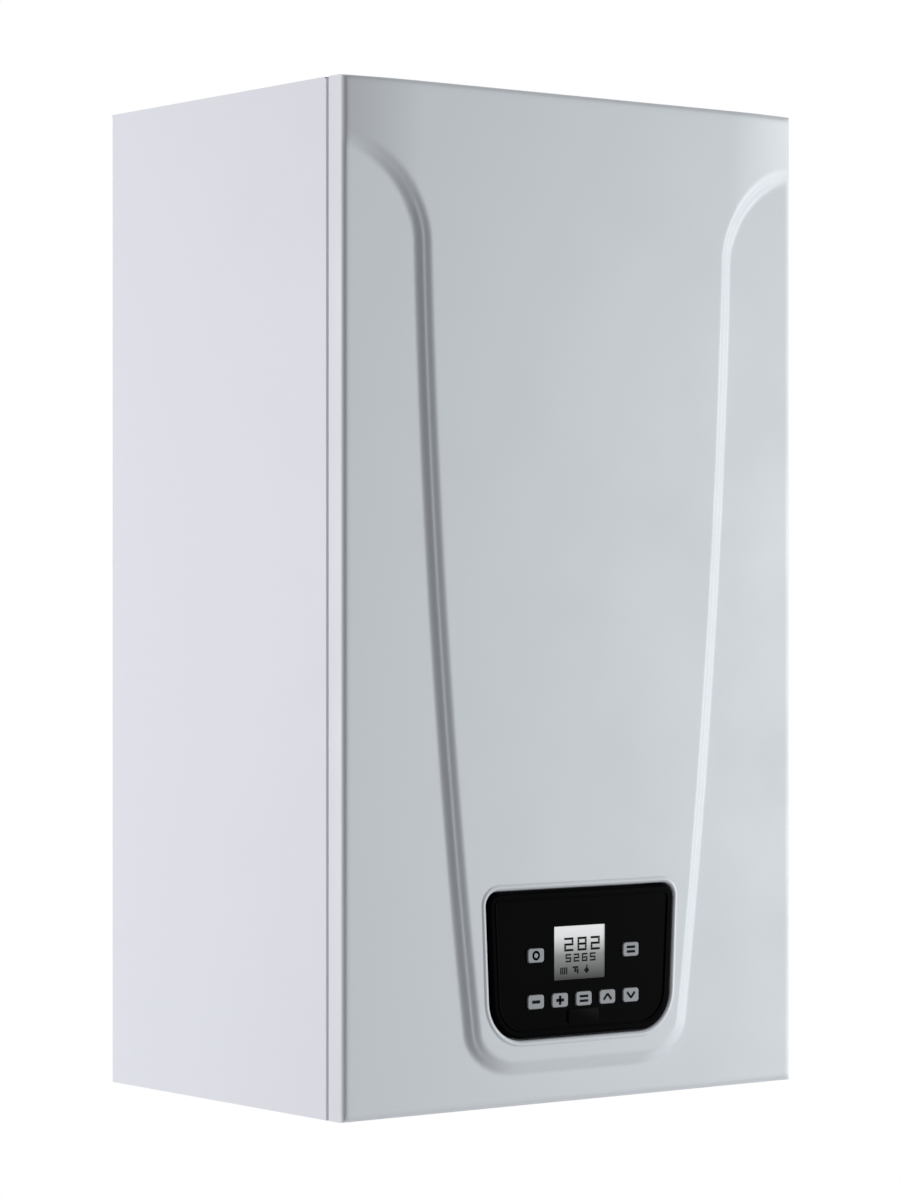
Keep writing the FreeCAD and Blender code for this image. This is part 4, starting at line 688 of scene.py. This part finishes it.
def mark_plus(bm, x, y, z):
    mark_minus(bm, x, y, z)
    bar(bm, x, y, z, MARK_STROKE, PLUS_HIGH)


def mark_lines(bm, x, y, z):
    for up in (-LINES_APART / 2, LINES_APART / 2):
        bar(bm, x, y, z + up, LINES_WIDE, LINES_STROKE)


def mark_chevron(bm, x, y, z, point=1.0):
    """Two leaning bars, with their point up or, for -1, down."""
    part = CHEVRON_SHARE * CHEVRON_HIGH
    for side in (-1.0, 1.0):
        bar(bm, x + side * part, y, z, part, CHEVRON_HIGH, -side * point * CHEVRON_LEAN)


def mark_chevron_down(bm, x, y, z):
    mark_chevron(bm, x, y, z, -1.0)


def mark_ring(bm, x, y, z):
    made = bmesh.ops.create_circle(bm, cap_ends=False, segments=20, radius=RING_RADIUS)["verts"]
    rim = list({edge for vert in made for edge in vert.link_edges})
    inner = verts_in(bmesh.ops.extrude_edge_only(bm, edges=rim)["geom"])
    bmesh.ops.scale(bm, verts=inner, vec=(RING_BORE, RING_BORE, 1.0))
    bmesh.ops.solidify(bm, geom=bm.faces[:], thickness=PRINT_THICK)
    bmesh.ops.recalc_face_normals(bm, faces=bm.faces)
    bmesh.ops.rotate(bm, verts=bm.verts, cent=(0, 0, 0), matrix=STANDING)
    bmesh.ops.translate(bm, verts=bm.verts, vec=(x, y, z))


BUTTON_MARKS = {
    "button_left": mark_ring,
    "button_right": mark_lines,
    "button_row_1": mark_minus,
    "button_row_2": mark_plus,
    "button_row_3": mark_lines,
    "button_row_4": mark_chevron,
    "button_row_5": mark_chevron_down,
}
for button, draw in BUTTON_MARKS.items():
    low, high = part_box(button)
    mark_bm = bmesh.new()
    draw(mark_bm, (low.x + high.x) / 2, low.y, (low.z + high.z) / 2)
    mark = mesh_piece("mark_" + button, mark_bm)
    mark.data.materials.append(PRINT_FINISH)
    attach(mark, button + "_key")
print("button marks:", len(BUTTON_MARKS))

# %% [markdown]
# ## Screw threads
# The five pipe ends under the casing carry parallel pipe threads, 14 to the inch, cut on a lathe. A bump in
# the finish would hide at the edges, where a thread shows most, so we turn one small tooth round each end,
# climbing one pitch a turn, and let its foot sink a little into the metal.

# %% Screw threads
THREAD_PITCH = 1.814 * MM
THREAD_HIGH = 0.45 * MM
THREAD_SINK = 0.15 * MM
TOOTH_WIDE = 0.9 * THREAD_PITCH
THREAD_TURNS = 10
TURN_STEPS = 40
G34_RADIUS = 13.2 * MM
G12_RADIUS = 10.48 * MM
THREAD_RADII = {
    "flow_fitting": G34_RADIUS,
    "hot_water_fitting": G12_RADIUS,
    "gas_fitting": G34_RADIUS,
    "cold_water_fitting": G12_RADIUS,
    "return_fitting": G34_RADIUS,
}


def thread(end, radius):
    """A tooth wound round a pipe end from its mouth upwards."""
    low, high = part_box(end)
    x, y = (low.x + high.x) / 2, (low.y + high.y) / 2
    start = low.z + THREAD_PITCH / 4
    tooth = (
        (radius - THREAD_SINK, 0.0),
        (radius + THREAD_HIGH, TOOTH_WIDE / 2),
        (radius - THREAD_SINK, TOOTH_WIDE),
    )
    bm = bmesh.new()
    verts = [bm.verts.new((x + out, y, start + up)) for out, up in tooth]
    edges = [bm.edges.new((verts[i - 1], verts[i])) for i in range(3)]
    bmesh.ops.spin(
        bm,
        geom=verts + edges,
        cent=(x, y, 0.0),
        axis=(0.0, 0.0, 1.0),
        dvec=(0.0, 0.0, THREAD_PITCH / TURN_STEPS),
        angle=2 * math.pi * THREAD_TURNS,
        steps=THREAD_TURNS * TURN_STEPS,
    )
    bmesh.ops.holes_fill(bm, edges=[edge for edge in bm.edges if edge.is_boundary], sides=3)
    bmesh.ops.recalc_face_normals(bm, faces=bm.faces)
    return mesh_piece(end + "_thread", bm)


for end, radius in THREAD_RADII.items():
    wound = thread(end, radius)
    wound.data.materials.append(FINISHES["brass"])
    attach(wound, "chassis")
print("threads:", len(THREAD_RADII), "with", len(wound.data.polygons), "faces each")

# %% [markdown]
# ## Screw heads
# The lid of the control box and the two halves of the fan's scroll are held by screws. A head is a short
# round pad with a rounded rim and a socket sunk into its top. We make one from a disc by drawing it up,
# bevelling it and sinking an inset face, and set it down wherever a screw belongs.

# %% Screw heads
# sizes of a head as shares of its radius
HEAD_HIGH = 0.7
HEAD_ROUND = 0.28
HEAD_RIM = 0.26
SOCKET_DEEP = 0.4
SMALL_SHARP = 40.0


def screw_head(bm, place, way, radius):
    """A round head with a socket, standing on a place and facing one way."""
    old = set(bm.verts)
    foot = bmesh.ops.create_circle(bm, cap_ends=True, segments=24, radius=radius)["verts"]
    drawn = bmesh.ops.extrude_face_region(bm, geom=[foot[0].link_faces[0]])["geom"]
    bmesh.ops.translate(bm, verts=verts_in(drawn), vec=(0.0, 0.0, HEAD_HIGH * radius))
    rim = [part for part in drawn if isinstance(part, bmesh.types.BMEdge)]
    soften(bm, rim, HEAD_ROUND * radius, 3)
    faces = {face for vert in bm.verts if vert not in old for face in vert.link_faces}
    top = max(faces, key=lambda face: face.calc_center_median().z)
    bmesh.ops.inset_region(bm, faces=[top], thickness=HEAD_RIM * radius)
    sunk = verts_in(bmesh.ops.extrude_face_region(bm, geom=[top])["geom"])
    bmesh.ops.delete(bm, geom=[top], context="FACES_ONLY")
    bmesh.ops.translate(bm, verts=sunk, vec=(0.0, 0.0, -SOCKET_DEEP * radius))
    new = [vert for vert in bm.verts if vert not in old]
    turn = Vector((0.0, 0.0, 1.0)).rotation_difference(Vector(way)).to_matrix()
    bmesh.ops.rotate(bm, verts=new, cent=(0.0, 0.0, 0.0), matrix=turn)
    bmesh.ops.translate(bm, verts=new, vec=place)


def screws(name, places, way, radius, carrier):
    """One piece with a head at each place."""
    bm = bmesh.new()
    for place in places:
        screw_head(bm, place, way, radius)
    bmesh.ops.recalc_face_normals(bm, faces=bm.faces)
    heads = mesh_piece(name, bm)
    shade(heads, SMALL_SHARP)
    heads.data.materials.append(FINISHES["stem_steel"])
    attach(heads, carrier)
    print(name, len(places))


print("screw head: a socket", SOCKET_DEEP, "of its radius deep")


# %% Screws of the lid and the scroll
LID_INSET = 10.0 * MM
LID_HEAD_RADIUS = 3.6 * MM
SCROLL_HEAD_RADIUS = 3.4 * MM
SCROLL_RING_RADIUS = 50.0 * MM
SCROLL_ANGLES = (60.0, 0.0, -60.0, -120.0, 180.0)

lid_low, lid_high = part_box("control_lid")
lid_places = [
    (x, lid_high.y, z)
    for x in (lid_low.x + LID_INSET, lid_high.x - LID_INSET)
    for z in (lid_low.z + LID_INSET, lid_high.z - LID_INSET)
]
screws("lid_screws", lid_places, (0.0, 1.0, 0.0), LID_HEAD_RADIUS, "controls")

wheel_low, wheel_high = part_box("fan_impeller")
fan_low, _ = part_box("fan_housing")
wheel_x, wheel_z = (wheel_low.x + wheel_high.x) / 2, (wheel_low.z + wheel_high.z) / 2
scroll_places = [
    (
        wheel_x + SCROLL_RING_RADIUS * math.cos(math.radians(angle)),
        fan_low.y,
        wheel_z + SCROLL_RING_RADIUS * math.sin(math.radians(angle)),
    )
    for angle in SCROLL_ANGLES
]
screws("scroll_screws", scroll_places, (0.0, -1.0, 0.0), SCROLL_HEAD_RADIUS, "chassis")

# %% [markdown]
# ## The front cover
# The cover is one pressed steel sheet. Its raised shield starts at the full width under the top edge, turns
# in at two round shoulders and narrows down to the control panel, with a soft double step round it. A
# Boolean of solids would give hard edges, so we press a sheet instead: a grid whose columns follow the
# step, lifted by a smooth height. Lengths across the sheet are in millimetres here, rises are counted from
# its lower edge, and the distance inside the shield's outline tells how far up the step a point lies.

# %% Shield form
cover_low, cover_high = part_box("front_cover")
BOTTOM = cover_low.z
HIGH = (cover_high.z - cover_low.z) / MM
HALF = cover_high.x / MM
SHIELD_PROUD = 5.0
CREST_Y = cover_low.y
FACE_Y = CREST_Y + SHIELD_PROUD * MM
CROWN_FLAT = 138.0
CROWN_RUN = HALF - CROWN_FLAT
SHOULDER_RISE = 592.0
SHOULDER_RADIUS = 65.0
SHOULDER_POWER = 1.78
SIDE_TOP_HALF = HALF - SHOULDER_RADIUS
SIDE_LOW_RISE = 54.0
SIDE_LOW_HALF = 93.0
SIDE_BOW = 6.7
STEP_BOTTOM = 27.0
STEP_TIGHT_LOW = 1.35
STEP_CORNER = 38.0
STEP_FOOT = -7.4
STEP_SHELF = -0.3
STEP_CREST = 6.4
STEP_SKEW = 1.4
FIRST_SHARE = 0.58


def side_half(rise):
    """Half the shield's width at a rise, along the gently bowed side."""
    t = min(max((SHOULDER_RISE - rise) / (SHOULDER_RISE - SIDE_LOW_RISE), 0.0), 1.0)
    return SIDE_TOP_HALF + (SIDE_LOW_HALF - SIDE_TOP_HALF) * t + SIDE_BOW * 4.0 * t * (1.0 - t)


def inside_step(x, rise):
    """How far a point lies inside the shield's outline, negative outside."""
    if rise >= SHOULDER_RISE:
        across, up = HALF - abs(x), rise - SHOULDER_RISE
        return (across**SHOULDER_POWER + up**SHOULDER_POWER) ** (1.0 / SHOULDER_POWER) - SHOULDER_RADIUS
    side = side_half(rise) - abs(x)
    low = (rise - STEP_BOTTOM) * STEP_TIGHT_LOW
    if side < STEP_CORNER and low < STEP_CORNER:
        return STEP_CORNER - math.hypot(STEP_CORNER - side, STEP_CORNER - low)
    return min(side, low)


def ease(t):
    """A soft rise from 0 to 1, steepest past the middle."""
    t = min(max(t, 0.0), 1.0) ** STEP_SKEW
    return t * t * (3.0 - 2.0 * t)


def step_lift(inside):
    """The share of the shield's height at a distance inside its outline.

    Two eased steps meet on a narrow shelf, the outer one higher. Each is steepest near the other.
    """
    first = ease((inside - STEP_FOOT) / (STEP_SHELF - STEP_FOOT))
    second = 1.0 - ease((STEP_CREST - inside) / (STEP_CREST - STEP_SHELF))
    return FIRST_SHARE * first + (1.0 - FIRST_SHARE) * second


def crown(x):
    """The shield's height above the flat of the cover: level in the middle, rolling off to the sides."""
    out = max(abs(x) - CROWN_FLAT, 0.0)
    return SHIELD_PROUD * (1.0 - (out / CROWN_RUN) ** 2)


print("shield half width:", SIDE_LOW_HALF, "mm below to", round(SIDE_TOP_HALF, 1), "mm at the shoulders")

# %% Pressed sheet
EDGE_CELL = 6.0
LOW_STEP_BAND = (16.0, 70.0)
SHOULDER_BAND = (575.0, 665.0)
ROW_STOPS = (0.0, EDGE_CELL, *LOW_STEP_BAND, *SHOULDER_BAND, HIGH - EDGE_CELL, HIGH)
ROW_CELLS = (1, 4, 36, 44, 50, 5, 1)
STEP_REACH = 8.0
CORNER_REACH = 36.0
HALF_CELLS = (8, 14, 20, 26, 1)
SHEET_COLUMNS = 2 * sum(HALF_CELLS)
SHEET_ROWS = sum(ROW_CELLS)


def stepped(stops, counts):
    """Places from stop to stop, with a number of equal cells between each pair."""
    places = [stops[0]]
    for start, stop, count in zip(stops, stops[1:], counts):
        places += [start + (stop - start) * (k + 1) / count for k in range(count)]
    return places


def columns_at(rise):
    """Column places at a rise, packed closely where the step runs."""
    middle = side_half(rise)
    around = (middle - CORNER_REACH, middle - STEP_REACH, middle + STEP_REACH)
    right = stepped((0.0, *around, HALF - EDGE_CELL, HALF), HALF_CELLS)
    return [-x for x in reversed(right[1:])] + right


rises = stepped(ROW_STOPS, ROW_CELLS)
columns = [columns_at(rise) for rise in rises]
sheet_bm = bmesh.new()
bmesh.ops.create_grid(sheet_bm, x_segments=SHEET_COLUMNS, y_segments=SHEET_ROWS, size=0.5)
for vert in sheet_bm.verts:
    row = round((vert.co.y + 0.5) * SHEET_ROWS)
    column = round((vert.co.x + 0.5) * SHEET_COLUMNS)
    x, rise = columns[row][column], rises[row]
    lift = crown(x) * step_lift(inside_step(x, rise))
    vert.co = Vector((x * MM, FACE_Y - lift * MM, BOTTOM + rise * MM))
print("pressed sheet:", len(sheet_bm.faces), "faces")

# %% [markdown]
# ## Folded flange
# The sheet's rim is folded back on all four sides, which stiffens it and meets the casing. The outer cells
# of the grid could be bent round, but drawing the rim back and rounding the edge is shorter and keeps the
# four corners crisp. Only then does the sheet get its thickness, inwards.

# %% Folded flange
FLANGE_BACK = cover_high.y + 1.8 * MM
FOLD_RADIUS = 3.8 * MM
SHEET_THICK = 1.2 * MM

fold_edges = [edge for edge in sheet_bm.edges if edge.is_boundary]
for vert in verts_in(bmesh.ops.extrude_edge_only(sheet_bm, edges=fold_edges)["geom"]):
    vert.co.y = FLANGE_BACK
bmesh.ops.recalc_face_normals(sheet_bm, faces=sheet_bm.faces)
soften(sheet_bm, fold_edges, FOLD_RADIUS, 6, clamp_overlap=True)
face_front(sheet_bm)
bmesh.ops.solidify(sheet_bm, geom=sheet_bm.faces[:], thickness=SHEET_THICK)
front_cover = mesh_piece("pressed_cover", sheet_bm)
print("folded cover:", [round(side / MM, 2) for side in front_cover.dimensions])

# %% [markdown]
# ## Cut-out for the control panel
# A press punches this window. Leaving cells out of the grid would make its round corners jagged, so we
# punch it too: a tool with the panel's own outline, grown by the gap and the lip, is taken away by a
# Boolean.

# %% Panel outline
fascia_low, fascia_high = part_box("control_fascia")
PANEL_TOP = fascia_high.z
PANEL_BOTTOM = fascia_low.z
PANEL_TOP_HALF = fascia_high.x
PANEL_BOTTOM_HALF = 78.0 * MM
PANEL_TOP_RADIUS = 9.0 * MM
PANEL_BOTTOM_RADIUS = 26.0 * MM


def panel_face(bm, grow, y):
    """Draws a face with the control panel's rounded outline, grown all round, at one depth."""
    low, top = PANEL_BOTTOM - grow, PANEL_TOP + grow
    low_half, top_half = PANEL_BOTTOM_HALF + grow, PANEL_TOP_HALF + grow
    corners = [(-low_half, low), (low_half, low), (top_half, top), (-top_half, top)]
    verts = [bm.verts.new((x, y, z)) for x, z in corners]
    bm.faces.new(verts)
    for pair, radius in ((verts[:2], PANEL_BOTTOM_RADIUS), (verts[2:], PANEL_TOP_RADIUS)):
        soften(bm, pair, radius + grow, 12, affect="VERTICES")


def panel_loop(bm, grow, y):
    """Draws such a face and gives the edges round it."""
    before = set(bm.edges)
    panel_face(bm, grow, y)
    return [edge for edge in bm.edges if edge not in before]


print("panel", round((PANEL_TOP - PANEL_BOTTOM) / MM, 1), "mm high")

# %% Panel cut-out
PANEL_GAP = 1.3 * MM
LIP_WIDTH = 4.4 * MM
TOOL_REACH = 10.0 * MM

tool_bm = bmesh.new()
panel_face(tool_bm, PANEL_GAP + LIP_WIDTH, CREST_Y - TOOL_REACH)
pushed = verts_in(bmesh.ops.extrude_face_region(tool_bm, geom=tool_bm.faces[:])["geom"])
bmesh.ops.translate(tool_bm, verts=pushed, vec=(0.0, 2.0 * TOOL_REACH, 0.0))
bmesh.ops.recalc_face_normals(tool_bm, faces=tool_bm.faces)
tool = mesh_piece("cutout_tool", tool_bm)
cut = front_cover.modifiers.new("cutout", "BOOLEAN")
cut.operation = "DIFFERENCE"
cut.solver = "EXACT"
cut.object = tool
bpy.context.view_layer.update()
cut_cover = front_cover.evaluated_get(bpy.context.evaluated_depsgraph_get())
cut_mesh = bpy.data.meshes.new_from_object(cut_cover)
front_cover.modifiers.clear()
front_cover.data = cut_mesh
bpy.data.objects.remove(tool)
print("cover with cut-out:", len(cut_mesh.polygons), "faces")

# %% [markdown]
# ## Rolled lip
# The cut edge is rolled over, so that no raw sheet shows: a narrow rim, a little proud of the shield, that
# turns in beside the panel. A bent tube along the edge would look much the same, but three nested outlines,
# bridged and rounded, keep the lip's true section and fit the cut-out.

# %% Rolled lip
LIP_DEEP = 6.5 * MM
LIP_PROUD = 0.9 * MM
LIP_SLACK = 0.02 * MM
LIP_ROUND = 0.9 * MM
LIP_THICK = 1.0 * MM
COVER_SHARP = 32.0

lip_bm = bmesh.new()
outer = panel_loop(lip_bm, PANEL_GAP + LIP_WIDTH - LIP_SLACK, CREST_Y + LIP_SLACK)
crest = panel_loop(lip_bm, PANEL_GAP + LIP_WIDTH / 2, CREST_Y - LIP_PROUD)
inner = panel_loop(lip_bm, PANEL_GAP, CREST_Y + LIP_PROUD / 2)
bmesh.ops.delete(lip_bm, geom=lip_bm.faces[:], context="FACES_ONLY")
bmesh.ops.bridge_loops(lip_bm, edges=outer + crest)
bmesh.ops.bridge_loops(lip_bm, edges=crest + inner)
for vert in verts_in(bmesh.ops.extrude_edge_only(lip_bm, edges=inner)["geom"]):
    vert.co.y = CREST_Y + LIP_DEEP
bmesh.ops.recalc_face_normals(lip_bm, faces=lip_bm.faces)
soften(lip_bm, crest + inner, LIP_ROUND, 4)
face_front(lip_bm)
bmesh.ops.solidify(lip_bm, geom=lip_bm.faces[:], thickness=LIP_THICK)
lip_bm.from_mesh(front_cover.data)
lip_bm.to_mesh(front_cover.data)
lip_bm.free()
front_cover.data.materials.clear()
front_cover.data.materials.append(FINISHES["casing_paint"])
shade(front_cover, COVER_SHARP)
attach(front_cover, "cover")
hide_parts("front_cover")
print("cover with lip:", len(front_cover.data.polygons), "faces")

# %% [markdown]
# ## Ridge and flap on the control panel
# The black panel is an injection moulding. A thin ridge runs round it close to its edge, and a small flap
# under the keys covers a socket for service. Both stand less than half a millimetre proud, so each is a
# thin plate with softened front edges, set a little into the panel's face. A bump would do from afar, but
# it would leave the mesh flat.

# %% Relief helper
RELIEF_PROUD = 0.4 * MM
RELIEF_SINK = 0.3 * MM
RELIEF_SOFT = 0.25 * MM
RELIEF_Y = fascia_low.y - RELIEF_PROUD


def relief(name, bm, material):
    """Thickens a flat face into a plate with softened front edges, on the control panel."""
    face_front(bm)
    front_edges = [edge for edge in bm.edges if edge.is_boundary]
    bmesh.ops.solidify(bm, geom=bm.faces[:], thickness=RELIEF_PROUD + RELIEF_SINK)
    soften(bm, front_edges, RELIEF_SOFT, 3)
    piece = mesh_piece(name, bm)
    piece.data.materials.append(material)
    shade(piece, SMALL_SHARP)
    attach(piece, "controls")
    print(name, len(piece.data.polygons), "faces")


print("relief stands", round(RELIEF_PROUD / MM, 2), "mm proud")


# %% Ridge and flap
RIDGE_INSET = 4.6 * MM
RIDGE_WIDTH = 1.3 * MM
FLAP_WIDTH = 27.0 * MM
FLAP_HIGH = 10.0 * MM
FLAP_RADIUS = 2.0 * MM
FLAP_BELOW_KEYS = 0.6 * MM
FLAP_FINISH = grained(
    finish("flap_black", (0.0045, 0.0036, 0.0036), 0.4, specular=0.008), 1500.0, 0.05, 0.0002
)

ridge_bm = bmesh.new()
ridge_edges = [
    edge
    for inset in (RIDGE_INSET, RIDGE_INSET + RIDGE_WIDTH)
    for edge in panel_loop(ridge_bm, -inset, RELIEF_Y)
]
bmesh.ops.delete(ridge_bm, geom=ridge_bm.faces[:], context="FACES_ONLY")
bmesh.ops.bridge_loops(ridge_bm, edges=ridge_edges)
relief("panel_ridge", ridge_bm, FINISHES["fascia_black"])

key_low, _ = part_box("button_row_3")
flap_top = key_low.z - FLAP_BELOW_KEYS
flap_bm = bmesh.new()
flap_bm.faces.new(
    flap_bm.verts.new((across * FLAP_WIDTH, RELIEF_Y, flap_top + up * FLAP_HIGH))
    for across, up in ((-0.5, -1.0), (0.5, -1.0), (0.5, 0.0), (-0.5, 0.0))
)
soften(flap_bm, flap_bm.verts[:], FLAP_RADIUS, 6, affect="VERTICES")
relief("service_flap", flap_bm, FLAP_FINISH)

# %% [markdown]
# ## Last update
# Dressing must not change the size of the part, and the view layer is brought up to date at the end.

# %% Finish
bpy.context.view_layer.update()
